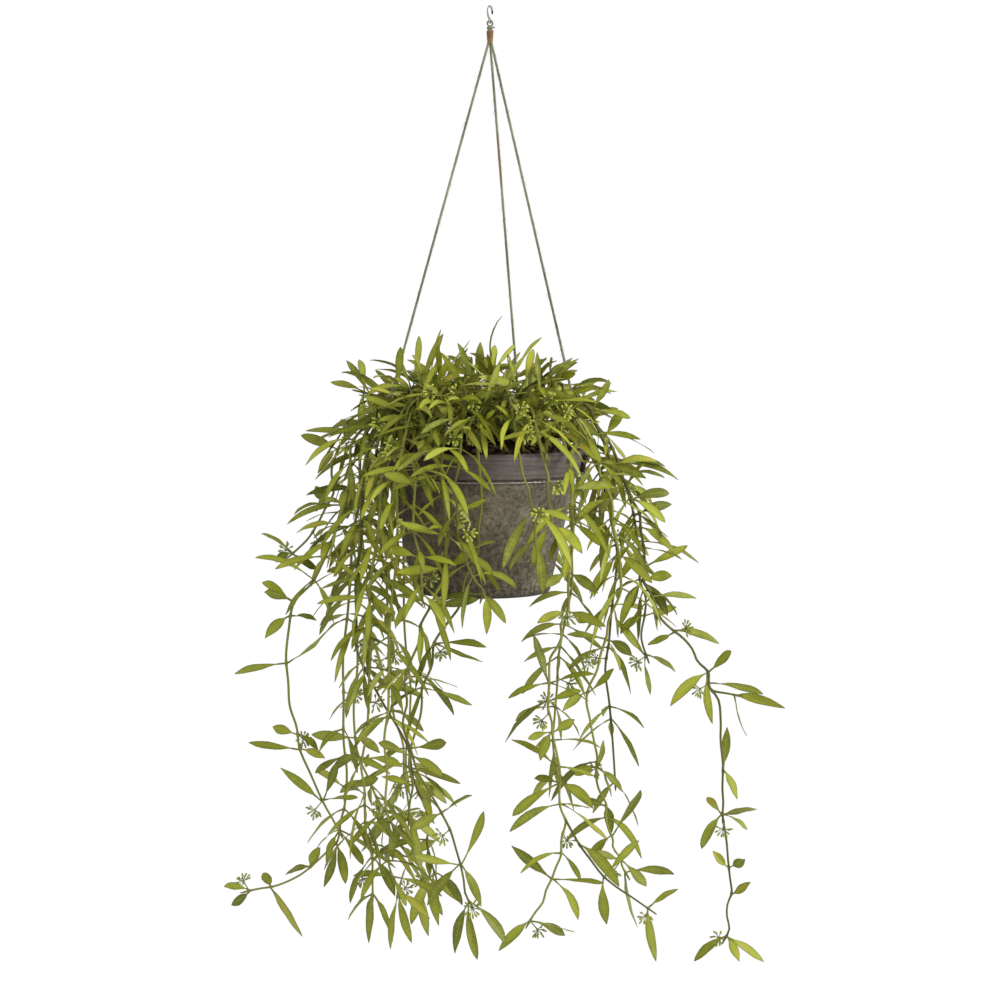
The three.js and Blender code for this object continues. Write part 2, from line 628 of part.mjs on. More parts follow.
// The whorls of a stem: the given ones, then those by the rule in the wild bands
function planWhorls(plant) {
  const list = [];
  const near = (d) => list.some((w) => Math.abs(w.d - d) < 5);
  const open = (d, gap) => {
    let at = d;
    while (list.some((w) => Math.abs(w.d - at) < gap)) {
      at += 1;
    }
    const whorl = { d: Math.min(at, plant.route.length - 2), leaves: [], umbels: [], twigs: [] };
    list.push(whorl);
    return whorl;
  };
  for (const [z, ...reaches] of plant.tips) {
    const whorl = open(whereAt(plant.route, z), 5);
    whorl.reaches = reaches;
  }
  for (const twig of plant.twigs) {
    const whorl = open(whereAt(plant.route, twig.from), 5);
    whorl.twigs.push(twig);
  }
  for (const z of plant.buds) {
    const d = whereAt(plant.route, z);
    const fits = (w) => Math.abs(w.d - d) < 12 && !w.bud && (w.reaches || []).length < 4;
    const whorl = list.find(fits) || open(d, 5);
    whorl.bud = true;
  }
  const roll = dice(plant.seed);
  let d = plant.bare;
  let count = 0;
  while (d < plant.route.length - 3) {
    const z = spot(plant.route, d).p[2];
    const wild = plant.wild.some(([high, low]) => z <= high && z >= low);
    if (wild && !near(d)) {
      const whorl = open(d, 5);
      whorl.rule = roll() < 0.6 ? 2 : 3;
      whorl.turn = roll() * Math.PI * 2;
      whorl.slight = count % plant.each !== 0;
      count += 1;
    }
    d += plant.gap * (0.75 + 0.5 * roll());
  }
  list.sort((a, b) => a.d - b.d);
  return list;
}

// All plants with their routes, side shoots and whorls
const plants = [];

function addPlant(name, route, spec, seed, bare, gap, owner, each) {
  const plant = {
    name: owner,
    label: name,
    route,
    tips: spec.tips,
    buds: spec.buds,
    twigs: spec.twigs,
    wild: spec.wild,
    seed,
    bare,
    gap,
    each,
  };
  plants.push(plant);
  return plant;
}

for (const stem of STEMS) {
  addPlant(stem.name, stemRoute(stem), stem, stem.seed, 30, WHORL_GAP, stem.name, KEPT_EACH);
}
for (const shoot of SHOOTS) {
  const spec = { tips: [], buds: [], twigs: [], wild: [[-200, -400]] };
  addPlant(shoot.name, shootRoute(shoot), spec, shoot.seed, 28, WHORL_GAP * 0.62, shoot.name, 1);
}
for (const plant of plants.slice()) {
  plant.whorls = planWhorls(plant);
  for (const whorl of plant.whorls) {
    whorl.at = spot(plant.route, whorl.d);
    for (const twig of whorl.twigs) {
      const route = smoothRoute([whorl.at.p, ...twig.way]);
      const spec = { tips: twig.tips, buds: twig.buds, twigs: [], wild: [] };
      const name = plant.label + "_twig";
      twig.plant = addPlant(name, route, spec, plant.seed + 100, 20, WHORL_GAP, plant.name, 1);
      twig.plant.whorls = planWhorls(twig.plant);
      twig.plant.whorls.forEach((w) => {
        w.at = spot(route, w.d);
      });
    }
  }
}

// The points of a rope: straight from under the whipping to the rim's top edge, down its side
// under the lashing, and in under the rim wire
function ropePoints(name) {
  const turn = deg(ROPE_TURNS[name]);
  const topTurn = deg(ROPE_TOP_TURNS[name]);
  const out = (r, z) => [POT_X + r * Math.cos(turn), r * Math.sin(turn), z];
  const high = [ROPE_TOP_R * Math.cos(topTurn), ROPE_TOP_R * Math.sin(topTurn), ROPE_TOP_Z];
  const edge = out(RIM_TOP_R + ROPE_R + 0.5, RIM_TOP_Z + 1);
  const lashHigh = out(RIM_TOP_R + LASH_R + 0.1, RIM_TOP_Z - 4);
  const lashLow = out(RIM_LOW_R + LASH_R + 0.6, RIM_LOW_Z + 2.5);
  return { high, edge, lashHigh, lashLow, out };
}

for (const name of Object.keys(ROPE_TURNS)) {
  const { high, edge, lashHigh, lashLow } = ropePoints(name);
  for (let i = 0; i <= 90; i++) {
    const t = i / 90;
    takeBall(add(mul(high, 1 - t), mul(edge, t)), ROPE_R + 0.4, name);
  }
  for (let i = 0; i <= 6; i++) {
    const t = i / 6;
    takeBall(add(mul(lashHigh, 1 - t), mul(lashLow, t)), LASH_R + 0.6, name);
  }
  takeBall(add(lashLow, [0, 0, -4]), LASH_R + 0.6, name);
}
for (const plant of plants) {
  takeRoute(plant.route, STEM_R + 0.4, plant.name);
}
for (const plant of plants) {
  const roll = dice(plant.seed + 500);
  for (const whorl of plant.whorls) {
    for (const reach of whorl.reaches || []) {
      const leaf = leafByReach(plant, whorl.at, reach, roll);
      if (leaf) {
        whorl.leaves.push(leaf);
      }
    }
  }
}
for (const plant of plants) {
  const roll = dice(plant.seed + 900);
  for (const whorl of plant.whorls) {
    if (whorl.bud) {
      const umbel = placeUmbel(plant, whorl.at, roll);
      if (umbel) {
        whorl.umbels.push(umbel);
      }
    }
  }
}
for (const plant of plants) {
  const roll = dice(plant.seed + 1300);
  for (const whorl of plant.whorls) {
    for (let k = 0; k < (whorl.slight ? 0 : whorl.rule || 0); k++) {
      const turn = whorl.turn + (k * 2 * Math.PI) / whorl.rule;
      const leaf = leafByRule(plant, whorl.at, turn, roll);
      if (leaf) {
        whorl.leaves.push(leaf);
      }
    }
  }
}

// A closed mesh in the making: points, and triangles that face out
class Body {
  constructor() {
    this.points = [];
    this.faces = [];
  }
  ring(list) {
    return list.map((p) => this.points.push(p) - 1);
  }
  loft(a, b, skip = []) {
    const n = a.length;
    for (let i = 0; i < n; i++) {
      if (skip.includes(i)) {
        continue;
      }
      const j = (i + 1) % n;
      this.faces.push([a[i], a[j], b[j]], [a[i], b[j], b[i]]);
    }
  }
  end(a, p) {
    const top = this.points.push(p) - 1;
    a.forEach((v, i) => this.faces.push([v, a[(i + 1) % a.length], top]));
  }
  start(a) {
    for (let i = 1; i + 1 < a.length; i++) {
      this.faces.push([a[0], a[i + 1], a[i]]);
    }
  }
  geometry() {
    const place = new Float32Array(this.points.length * 3);
    this.points.forEach((p, i) => place.set(p, i * 3));
    let volume = 0;
    for (const [a, b, c] of this.faces) {
      volume += dot(this.points[a], cross(this.points[b], this.points[c]));
    }
    const order = volume < 0 ? this.faces.map(([a, b, c]) => [a, c, b]) : this.faces;
    const g = new THREE.BufferGeometry();
    g.setAttribute("position", new THREE.BufferAttribute(place, 3));
    g.setIndex(order.flat());
    return g;
  }
}

// Turns a ring so that it follows the loop that it grows from with the least twist
function followLoop(body, loop, list) {
  const mid = (a) => mul(a.reduce(add), 1 / a.length);
  const from = loop.map((v) => body.points[v]);
  const a = mid(from);
  const b = mid(list);
  let best = null;
  for (let k = 0; k < list.length; k++) {
    let cost = 0;
    for (let i = 0; i < list.length; i++) {
      const u = unit(sub(from[i], a));
      const v = unit(sub(list[(i + k) % list.length], b));
      cost -= dot(u, v);
    }
    if (best === null || cost < best.cost) {
      best = { cost, k };
    }
  }
  return list.map((_, i) => list[(i + best.k) % list.length]);
}

// One blade with its petiole, grown out of a loop of the stem: a thin diamond in section
function growLeaf(body, loop, leaf) {
  let last = loop;
  const shares = leaf.long > 40 ? [0.15, 0.42, 0.75] : [0.15, 0.52];
  shares.forEach((t, i) => {
    const p = leafPoint(leaf, t);
    const w = i === 0 ? 0.95 : halfWidth(leaf, t);
    const h = i === 0 ? 0.6 : LEAF_THICK;
    const fold = i === 0 ? 0 : 0.12 * w;
    const list = [
      add(p, mul(leaf.across, w)),
      add(p, mul(leaf.up, h - fold)),
      sub(p, mul(leaf.across, w)),
      sub(p, mul(leaf.up, h + fold)),
    ];
    const ahead = unit(sub(leafPoint(leaf, Math.min(t + 0.1, 1)), leafPoint(leaf, t - 0.1)));
    const turned = dot(cross(leaf.across, leaf.up), ahead) > 0 ? list : list.reverse();
    const ring = body.ring(followLoop(body, last, turned));
    body.loft(last, ring);
    last = ring;
  });
  body.end(last, leaf.tip);
}

// One umbel: a stalk with a head that buds stand out of on all sides
function growUmbel(body, loop, umbel) {
  const { root, aim, stalk } = umbel;
  const side = unit(cross(aim, [0.31, 0.87, 0.38]));
  const other = cross(aim, side);
  const square = (far, r) =>
    [0, 1, 2, 3].map((k) => {
      const a = (k * Math.PI) / 2;
      const off = add(mul(side, r * Math.cos(a)), mul(other, r * Math.sin(a)));
      return add(add(root, mul(aim, far)), off);
    });
  const neck = body.ring(followLoop(body, loop, square(stalk - 1.6, 0.75)));
  body.loft(loop, neck);
  const wide = body.ring(followLoop(body, neck, square(stalk, 1.7)));
  const top = body.points.push(add(root, mul(aim, stalk + 1.3))) - 1;
  for (let i = 0; i < 4; i++) {
    const j = (i + 1) % 4;
    const low = [neck[i], neck[j], wide[j], wide[i]];
    const points = low.map((v) => body.points[v]);
    const mid = mul(points.reduce(add), 0.25);
    const off = sub(mid, add(root, mul(aim, stalk - 2.2)));
    body.end(low, add(mid, mul(unit(off), 4.4)));
    const cap = [wide[i], wide[j], top];
    const over = mul(cap.map((v) => body.points[v]).reduce(add), 1 / 3);
    body.end(cap, add(over, mul(unit(sub(over, add(root, mul(aim, stalk - 1)))), 5)));
  }
}

// A whole stem, from its foot or from a loop of its parent, with all that grows on it
function growStem(body, plant, loop) {
  const { route, whorls } = plant;
  const marks = [];
  if (!loop) {
    marks.push({ d: 0 }, { d: HOLE_DEPTH * 0.6 }, { d: HOLE_DEPTH + 1.5 });
  }
  for (const whorl of whorls) {
    const busy = whorl.leaves.length + whorl.umbels.length + whorl.twigs.length;
    if (busy > 0 && !whorl.slight) {
      marks.push({ d: whorl.d - 1.5, whorl });
      marks.push({ d: whorl.d + 1.5 });
    }
  }
  marks.push({ d: route.length });
  const all = [];
  marks.forEach((m, i) => {
    if (i > 0 && !marks[i - 1].whorl) {
      const from = marks[i - 1].d;
      const parts = Math.ceil((m.d - from) / 34);
      for (let k = 1; k < parts; k++) {
        all.push({ d: from + ((m.d - from) * k) / parts });
      }
    }
    all.push(m);
  });
  let phi = 0;
  let last = loop;
  let hold = null;
  for (const m of all) {
    const at = spot(route, m.d);
    const share = m.d / route.length;
    const r = (STEM_R + (STEM_TIP_R - STEM_R) * share) * (loop ? 0.85 : 1);
    if (m.whorl && m.whorl.leaves.length) {
      const out = sub(m.whorl.leaves[0].knee, m.whorl.at.p);
      const lie = Math.atan2(dot(out, at.other), dot(out, at.side)) - Math.PI / 4;
      phi = lie + Math.round((phi - lie) / (Math.PI / 2)) * (Math.PI / 2);
    }
    const list = [0, 1, 2, 3].map((k) => {
      const a = phi + (k * Math.PI) / 2;
      const off = add(mul(at.side, r * Math.cos(a)), mul(at.other, r * Math.sin(a)));
      return add(at.p, off);
    });
    const ring = body.ring(last && !hold && last === loop ? followLoop(body, last, list) : list);
    if (!last) {
      body.start(ring);
    } else if (hold) {
      body.loft(last, ring, hold.used);
      hold.grown.forEach(({ k, grow }) => {
        const j = (k + 1) % 4;
        grow([last[k], last[j], ring[j], ring[k]]);
      });
      hold = null;
    } else {
      body.loft(last, ring);
    }
    last = ring;
    if (m.whorl) {
      hold = { used: [], grown: [] };
      const give = (toward, grow) => {
        let best = null;
        for (let k = 0; k < 4; k++) {
          if (hold.used.includes(k)) {
            continue;
          }
          const a = phi + Math.PI / 4 + (k * Math.PI) / 2;
          const face = add(mul(at.side, Math.cos(a)), mul(at.other, Math.sin(a)));
          const fit = dot(face, toward);
          if (best === null || fit > best.fit) {
            best = { k, fit };
          }
        }
        if (best) {
          hold.used.push(best.k);
          hold.grown.push({ k: best.k, grow });
        }
      };
      const centre = m.whorl.at.p;
      for (const twig of m.whorl.twigs) {
        const out = sub(spot(twig.plant.route, 8).p, centre);
        give(out, (l) => growStem(body, twig.plant, l));
      }
      for (const leaf of m.whorl.leaves) {
        give(sub(leaf.knee, centre), (l) => growLeaf(body, l, leaf));
      }
      for (const umbel of m.whorl.umbels) {
        give(umbel.outward, (l) => growUmbel(body, l, umbel));
      }
    }
  }
  const tip = spot(route, route.length);
  body.end(last, add(tip.p, mul(tip.along, 4)));
}

// A body turned about the pot's axis from an outline of radius and height
function turned(outline, sides, x) {
  const body = new Body();
  const rings = outline.map(([r, z]) => {
    if (r === 0) {
      return [body.points.push([x, 0, z]) - 1];
    }
    const list = [];
    for (let k = 0; k < sides; k++) {
      const a = (k * 2 * Math.PI) / sides;
      list.push([x + r * Math.cos(a), r * Math.sin(a), z]);
    }
    return body.ring(list);
  });
  const count = rings.length;
  for (let i = 0; i + 1 < count; i++) {
    const a = rings[i];
    const b = rings[i + 1];
    for (let k = 0; k < sides; k++) {
      const j = (k + 1) % sides;
      if (a.length > 1 && b.length > 1) {
        body.faces.push([a[k], a[j], b[j]], [a[k], b[j], b[k]]);
      } else if (a.length > 1) {
        body.faces.push([a[k], a[j], b[0]]);
      } else {
        body.faces.push([a[0], b[j], b[k]]);
      }
    }
  }
  return body;
}

// A round tube along points, closed at both ends
function tube(points, r, sides, closed) {
  const body = new Body();
  const n = points.length;
  const along = points.map((p, i) => {
    const before = closed ? points[(i + n - 1) % n] : points[Math.max(i - 1, 0)];
    const after = closed ? points[(i + 1) % n] : points[Math.min(i + 1, n - 1)];
    return unit(sub(after, before));
  });
  let side = unit(cross(along[0], Math.abs(along[0][2]) > 0.9 ? [0, 1, 0] : [0, 0, 1]));
  const rings = points.map((p, i) => {
    side = unit(sub(side, mul(along[i], dot(side, along[i]))));
    const other = cross(along[i], side);
    const wide = typeof r === "function" ? r(i / (n - 1)) : r;
    const list = [];
    for (let k = 0; k < sides; k++) {
      const a = (k * 2 * Math.PI) / sides;
      list.push(add(p, add(mul(side, wide * Math.cos(a)), mul(other, wide * Math.sin(a)))));
    }
    return body.ring(list);
  });
  for (let i = 0; i + 1 < n; i++) {
    body.loft(rings[i], rings[i + 1]);
  }
  if (closed) {
    body.loft(rings[n - 1], rings[0]);
  } else {
    body.start(rings[0]);
    body.start(rings[n - 1].slice().reverse());
  }
  return body;
}

const clay = new THREE.MeshStandardMaterial({ color: 0x6a655a, roughness: 0.95 });
const earth = new THREE.MeshStandardMaterial({ color: 0x3a2a1e, roughness: 1 });
const twine = new THREE.MeshStandardMaterial({ color: 0x7d8470, roughness: 0.95 });
const jute = new THREE.MeshStandardMaterial({ color: 0x9a6238, roughness: 0.95 });
const steel = new THREE.MeshStandardMaterial({ color: 0xb9bcc0, roughness: 0.35, metalness: 1 });
const green = new THREE.MeshStandardMaterial({ color: 0x7c8426, roughness: 0.55 });

const group = new THREE.Group();

function addMesh(name, geometry, material) {
  const mesh = new THREE.Mesh(geometry, material);
  mesh.name = name;
  group.add(mesh);
}

// A mesh as a solid that can be cut or joined
function solid(geometry) {
  const g = geometry.clone();
  g.deleteAttribute("normal");
  g.deleteAttribute("uv");
  const merged = mergeVertices(g, 1e-4);
  return new wasm.Manifold(
    new wasm.Mesh({
      numProp: 3,
      vertProperties: merged.attributes.position.array,
      triVerts: new Uint32Array(merged.index.array),
    }),
  );
}

function fromSolid(made) {
  const mesh = made.getMesh();
  const g = new THREE.BufferGeometry();
  const place = new Float32Array(mesh.numVert * 3);
  for (let i = 0; i < mesh.numVert; i++) {
    for (let j = 0; j < 3; j++) {
      place[i * 3 + j] = mesh.vertProperties[i * mesh.numProp + j];
    }
  }
  g.setAttribute("position", new THREE.BufferAttribute(place, 3));
  g.setIndex(Array.from(mesh.triVerts));
  return g;
}

// The pot: a tapered body under a deep rim, with a shallow recess under its foot
function makePot() {
  const foot = POT_FOOT_Z;
  const outline = [
    [0, foot + 3],
    [44, foot + 3],
    [46.5, foot],
    [54.5, foot],
    [57, foot + 3.5],
    [BODY_TOP_R, RIM_LOW_Z - 4],
    [BODY_TOP_R, RIM_LOW_Z],
    [RIM_LOW_R - 0.6, RIM_LOW_Z],
    [RIM_LOW_R, RIM_LOW_Z + 1.2],
    [RIM_TOP_R, RIM_TOP_Z - 2],
    [RIM_TOP_R - 1.6, RIM_TOP_Z],
    [RIM_TOP_R - 6, RIM_TOP_Z],
    [SOIL_R + 1.2, RIM_TOP_Z - 2],
    [SOIL_R + FIT_GAP, RIM_LOW_Z + 8],
    [BODY_TOP_R - POT_WALL, RIM_LOW_Z - 6],
    [BODY_LOW_R - POT_WALL, foot + 12],
    [BODY_LOW_R - POT_WALL - 3, foot + 9],
    [0, foot + 9],
  ];
  addMesh("pot", turned(outline, POT_SIDES, POT_X).geometry(), clay);
}

// The soil: it fills the pot and mounds up, with a plain hole for each stem
function makeSoil() {
  const foot = POT_FOOT_Z + 9 + FIT_GAP;
  const g = FIT_GAP;
  const outline = [
    [0, foot],
    [BODY_LOW_R - POT_WALL - 3 - g, foot],
    [BODY_LOW_R - POT_WALL - g, foot + 3.2],
    [BODY_TOP_R - POT_WALL - g, RIM_LOW_Z - 6],
    [SOIL_R - g, RIM_LOW_Z + 8.2],
    [SOIL_R - g, SOIL_EDGE_Z],
    [54, soilTop(54)],
    [28, soilTop(28)],
    [0, soilTop(0)],
  ];
  let made = solid(turned(outline, POT_SIDES, POT_X).geometry());
  for (const plant of [...STEMS, ...SHOOTS]) {
    const x = POT_X + plant.foot * Math.cos(deg(plant.turn));
    const y = plant.foot * Math.sin(deg(plant.turn));
    const z = soilTop(plant.foot) - HOLE_DEPTH;
    const plug = wasm.Manifold.cylinder(HOLE_DEPTH + 20, HOLE_R, HOLE_R, 4);
    made = made.subtract(plug.translate([x, y, z]));
  }
  addMesh("soil", fromSolid(made), earth);
}

// A level ring of points round the pot
function ringPoints(r, z, count) {
  const points = [];
  for (let k = 0; k < count; k++) {
    const a = (k * 2 * Math.PI) / count;
    points.push([POT_X + r * Math.cos(a), r * Math.sin(a), z]);
  }
  return points;
}

function makeRimWire() {
  const points = ringPoints(WIRE_RING_R, WIRE_RING_Z, 32);
  addMesh("rim_wire", tube(points, WIRE_R, 4, true).geometry(), steel);
}

// One rope with its lashing beside the rim
function makeRope(name) {
  const { high, edge, lashHigh, lashLow, out } = ropePoints(name);
  const parts = 5;
  const points = [];
  const wide = [];
  const give = (p, r) => {
    points.push(p);
    wide.push(r);
  };
  for (let i = 0; i < parts; i++) {
    const t = i / parts;
    give(add(mul(high, 1 - t), mul(edge, t)), ROPE_R);
  }
  give(edge, ROPE_R);
  give(add(lashHigh, [0, 0, 0.6]), ROPE_R);
  give(lashHigh, LASH_R);
  give(mul(add(lashHigh, lashLow), 0.5), LASH_R);
  give(lashLow, LASH_R);
  give(out(RIM_LOW_R + LASH_R, RIM_LOW_Z + 1), ROPE_R);
  const under = WIRE_RING_Z - WIRE_R - ROPE_R - 0.35;
  give(out(RIM_LOW_R + 1.6, under + 1.2), ROPE_R);
  give(out(WIRE_RING_R + 1.6, under - 0.1), ROPE_R);
  give(out(WIRE_RING_R - 0.4, under - 0.3), ROPE_R * 0.7);
  const radius = (t) => wide[Math.round(t * (points.length - 1))];
  addMesh(name, tube(points, radius, 6, false).geometry(), twine);
}

// The whipping: a wound sleeve round the tops of the ropes, with one coil standing proud per turn
function makeWhipping() {
  const outline = [[0, WHIP_LOW_Z]];
  const coils = 4;
  const pitch = (WHIP_TOP_Z - WHIP_LOW_Z) / coils;
  for (let k = 0; k < coils; k++) {
    outline.push([WHIP_R - 0.35, WHIP_LOW_Z + pitch * k + 0.05]);
    outline.push([WHIP_R, WHIP_LOW_Z + pitch * (k + 0.5)]);
  }
  outline.push([WHIP_R - 0.4, WHIP_TOP_Z], [0, WHIP_TOP_Z]);
  addMesh("whipping", turned(outline, 10, 0).geometry(), jute);
}

// The rope loop: a knot on the whipping, with an upright loop that the hook's eye goes through
function makeRopeLoop() {
  const foot = WHIP_TOP_Z + 0.3;
  const outline = [[0, foot], [2.2, foot + 0.1], [3, foot + 1.2], [2.8, foot + 2.2]];
  outline.push([1.6, foot + 3.2], [0, foot + 3.4]);
  const knot = solid(turned(outline, 8, 0).geometry());
  const points = [];
  for (let k = 0; k < 9; k++) {
    const a = (k * Math.PI) / 4.5;
    points.push([LOOP_R * Math.cos(a), 0, LOOP_Z + LOOP_R * Math.sin(a)]);
  }
  const loop = solid(tube(points, LOOP_WIRE_R, 5, true).geometry());
  const end = [[1.2, 0, foot + 1.4], [4.4, 0, foot + 2.1]];
  const bump = solid(tube(end, 0.9, 5, false).geometry());
  addMesh("rope_loop", fromSolid(knot.add(loop).add(bump)), twine);
}

// The hook: one bent wire, an eye through the rope loop below and an open curl on top
function makeHook() {
  const c = Math.cos(deg(HOOK_TURN));
  const s = Math.sin(deg(HOOK_TURN));
  const mid = HOOK_IN_R + HOOK_WIRE_R;
  const flat = [];
  for (let k = 0; k <= 8; k++) {
    const a = deg(48 - (k * 286) / 8);
    flat.push([HOOK_EYE_R * Math.cos(a), HOOK_EYE_Z + HOOK_EYE_R * Math.sin(a)]);
  }
  flat.push([-mid + 1.1, -HOOK_IN_R - 3.2], [-mid + 0.2, -HOOK_IN_R - 1.6]);
  for (let k = 0; k <= 8; k++) {
    const a = deg(180 - (k * 192) / 8);
    flat.push([mid * Math.cos(a), -HOOK_IN_R + mid * Math.sin(a)]);
  }
  const points = flat.map(([u, z]) => [u * c, u * s, z]);
  addMesh("hook", tube(points, HOOK_WIRE_R, 5, false).geometry(), steel);
}

makePot();
makeSoil();
makeRimWire();
for (const name of Object.keys(ROPE_TURNS)) {
  makeRope(name);
}
makeWhipping();
makeRopeLoop();
makeHook();
for (const plant of plants) {
  if (plant.name === plant.label) {
    const body = new Body();
    growStem(body, plant, null);
    addMesh(plant.name, body.geometry(), green);
  }
}

export default group;
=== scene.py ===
import math

import bpy
import numpy as np
from bpy.props import FloatProperty, FloatVectorProperty, IntProperty, PointerProperty
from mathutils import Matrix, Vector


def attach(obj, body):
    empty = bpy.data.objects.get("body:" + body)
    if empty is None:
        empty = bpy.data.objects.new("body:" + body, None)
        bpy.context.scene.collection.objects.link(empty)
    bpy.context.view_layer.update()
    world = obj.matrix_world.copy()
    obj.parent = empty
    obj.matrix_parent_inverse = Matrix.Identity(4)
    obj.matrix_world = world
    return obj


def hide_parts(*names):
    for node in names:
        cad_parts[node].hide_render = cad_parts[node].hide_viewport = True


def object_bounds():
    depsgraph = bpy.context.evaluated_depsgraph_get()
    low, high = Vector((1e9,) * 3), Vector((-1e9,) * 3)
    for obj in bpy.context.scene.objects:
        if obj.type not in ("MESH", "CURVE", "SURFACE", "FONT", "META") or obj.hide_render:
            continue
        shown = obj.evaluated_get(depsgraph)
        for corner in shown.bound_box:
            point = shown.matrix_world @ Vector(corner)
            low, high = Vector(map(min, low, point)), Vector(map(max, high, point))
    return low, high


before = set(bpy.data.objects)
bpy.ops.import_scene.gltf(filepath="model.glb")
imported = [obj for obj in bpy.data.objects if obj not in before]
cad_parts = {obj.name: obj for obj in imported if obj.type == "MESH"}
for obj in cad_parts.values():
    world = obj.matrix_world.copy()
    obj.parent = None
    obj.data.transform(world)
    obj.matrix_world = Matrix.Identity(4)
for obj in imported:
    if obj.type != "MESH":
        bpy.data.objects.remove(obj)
CAD_BOX = [list(corner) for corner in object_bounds()]

bl_info = {
    "name": "Hanging potted hoya",
    "version": (1, 0, 0),
    "blender": (4, 5, 0),
    "location": "View3D > Sidebar > Hoya",
    "description": "A trailing hoya in a weathered clay pot on three twine ropes",
    "category": "Object",
}

# All places and sizes below are millimetres, +Z up, and this turns them into metres.
MM = 0.001


def linear(code):
    """An sRGB hex colour as the linear red, green, blue and alpha that sockets hold."""
    parts = [int(code[k : k + 2], 16) / 255 for k in (1, 3, 5)]
    return tuple(v / 12.92 if v <= 0.04045 else ((v + 0.055) / 1.055) ** 2.4 for v in parts) + (1.0,)


def hue(name, code, description):
    """A colour that the user can change."""
    return FloatVectorProperty(
        name=name, description=description, default=linear(code), size=4, min=0, max=1, subtype="COLOR"
    )


def span(name, millimetres, description):
    """A length that the user can change."""
    return FloatProperty(
        name=name, description=description, default=millimetres * MM, min=0, unit="LENGTH", precision=5
    )


def count(name, number, description):
    """A whole number that the user can change."""
    return IntProperty(name=name, description=description, default=number, min=0)


def amount(name, number, description):
    """An amount of light that the user can change."""
    return FloatProperty(name=name, description=description, default=number, min=0)


class PotLook(bpy.types.PropertyGroup):
    pit_depth: span("Pit depth", 0.7, "Depth of the pits that frost and moss left in the clay")
    wave: span("Wave", 0.5, "How far the hand-made wall wanders in and out")
    rim_colour: hue("Rim", "#766e6a", "Smoked clay of the rim")
    body_colour: hue("Body", "#827b6b", "Fired clay of the body")
    warm_colour: hue("Warm patches", "#a69d86", "Clay where the dark skin has worn off")
    moss_colour: hue("Moss", "#686a50", "Dry moss and algae")
    pit_colour: hue("Pits", "#454138", "Dirt in the pits and along the foot")
    speck_colour: hue("Specks", "#a39f8a", "Grains of sand and lime in the clay")


class HangerLook(bpy.types.PropertyGroup):
    lay: span("Lay", 6.4, "Length of one turn of a rope's strands")
    strand: span("Strand", 0.6, "Radius of one of a rope's three strands")
    twine_colour: hue("Twine", "#6f7460", "Grey-green sisal twine")
    brown_colour: hue("Brown twine", "#806547", "Stretches of the middle rope that are brown")
    jute_colour: hue("Jute", "#8a6844", "Jute yarn of the whipping")
    lash_colour: hue("Lashing", "#3b2a24", "Dark waxed yarn of the lashings at the rim")
    wire_colour: hue("Wire", "#b9b6b0", "Bright drawn steel wire")


class SoilLook(bpy.types.PropertyGroup):
    chips: count("Bark chips", 300, "How many bark chips lie on the soil")
    twigs: count("Twigs", 46, "How many dry twigs lie on the soil")
    peat_colour: hue("Peat", "#2a201a", "Damp peat")
    bark_colour: hue("Bark", "#5a4436", "Composted bark")


class PlantLook(bpy.types.PropertyGroup):
    blade: span("Blade thickness", 0.5, "Thickness of a blade at its midrib")
    bud: span("Bud length", 7.6, "Length of a bud with its thin stalk")
    deep_colour: hue("Deep leaf", "#62681a", "The oldest leaves")
    leaf_colour: hue("Leaf", "#898f25", "Most leaves")
    young_colour: hue("Young leaf", "#9aa02d", "The youngest leaves")
    yellow_colour: hue("Yellowing leaf", "#aba035", "Leaves on the turn")
    under_colour: hue("Underside", "#8b8f3c", "Matt underside of a leaf")
    stem_colour: hue("Stem", "#696b27", "Stems and leaf stalks")
    bud_colour: hue("Bud", "#a9b63c", "Flower buds")


class StageLook(bpy.types.PropertyGroup):
    floor_drop: span("Floor", 1250.0, "How far the floor lies under the hook")
    floor_colour: hue("Floor colour", "#f6f6f4", "Plain pale floor")
    sky: amount("Room light", 0.88, "Light from above at the right")
    shade: amount("Room shade", 0.5, "Light from below at the left")
    key: amount("Main light", 54.0, "Power of the large light at the right")
    fill: amount("Fill light", 14.5, "Power of the light at the left")


# Sizes of the pot, its soil and its hanger, the same as in the part's source
POT_X = -7
RIM_TOP_Z = -360.5
RIM_LOW_Z = -381
POT_FOOT_Z = -479
RIM_TOP_R = 85
RIM_LOW_R = 82
BODY_TOP_R = 77
BODY_LOW_R = 56.5
POT_WALL = 6.5
SOIL_EDGE_Z = -368
SOIL_MOUND = 25
SOIL_R = 76
HOLE_DEPTH = 14
WIRE_RING_R = 79.4
WIRE_RING_Z = -383.4
WIRE_R = 0.7
ROPE_R = 1.15
ROPE_TURNS = {"rope_left": 184, "rope_right": -13, "rope_back": 67}
ROPE_TOP_TURNS = {"rope_left": 195, "rope_right": -30, "rope_back": 80}
ROPE_TOP_Z = -30.6
ROPE_TOP_R = 1.75
LASH_R = 2.2
WHIP_TOP_Z = -18.6
WHIP_LOW_Z = -30
WHIP_R = 3.2
HOOK_WIRE_R = 0.75
HOOK_IN_R = 4.2
HOOK_EYE_R = 1.9
HOOK_EYE_Z = -10.95
LOOP_R = 2.2
LOOP_Z = -13.2
HOOK_TURN = 68

# Sizes of what scene.py adds to the pot, the soil and the hanger. WEAR_TOP_Z is where the pot begins
# to be more worn on its way down, TWIG_FAR how far from the axis a dry twig may lie, YARN_R the
# jute's radius, and STRAND_OFF how far a strand lies from the middle of the loop's twine.
WEAR_TOP_Z = -425
CHIP_SIZE = (7.5, 4.2, 2.0)
TWIG_FAR = 72
ROPE_HAIRS = 70
LASH_TURNS = 13
WHIP_TURNS = 9
YARN_R = 0.66
STRAND_OFF = 0.36

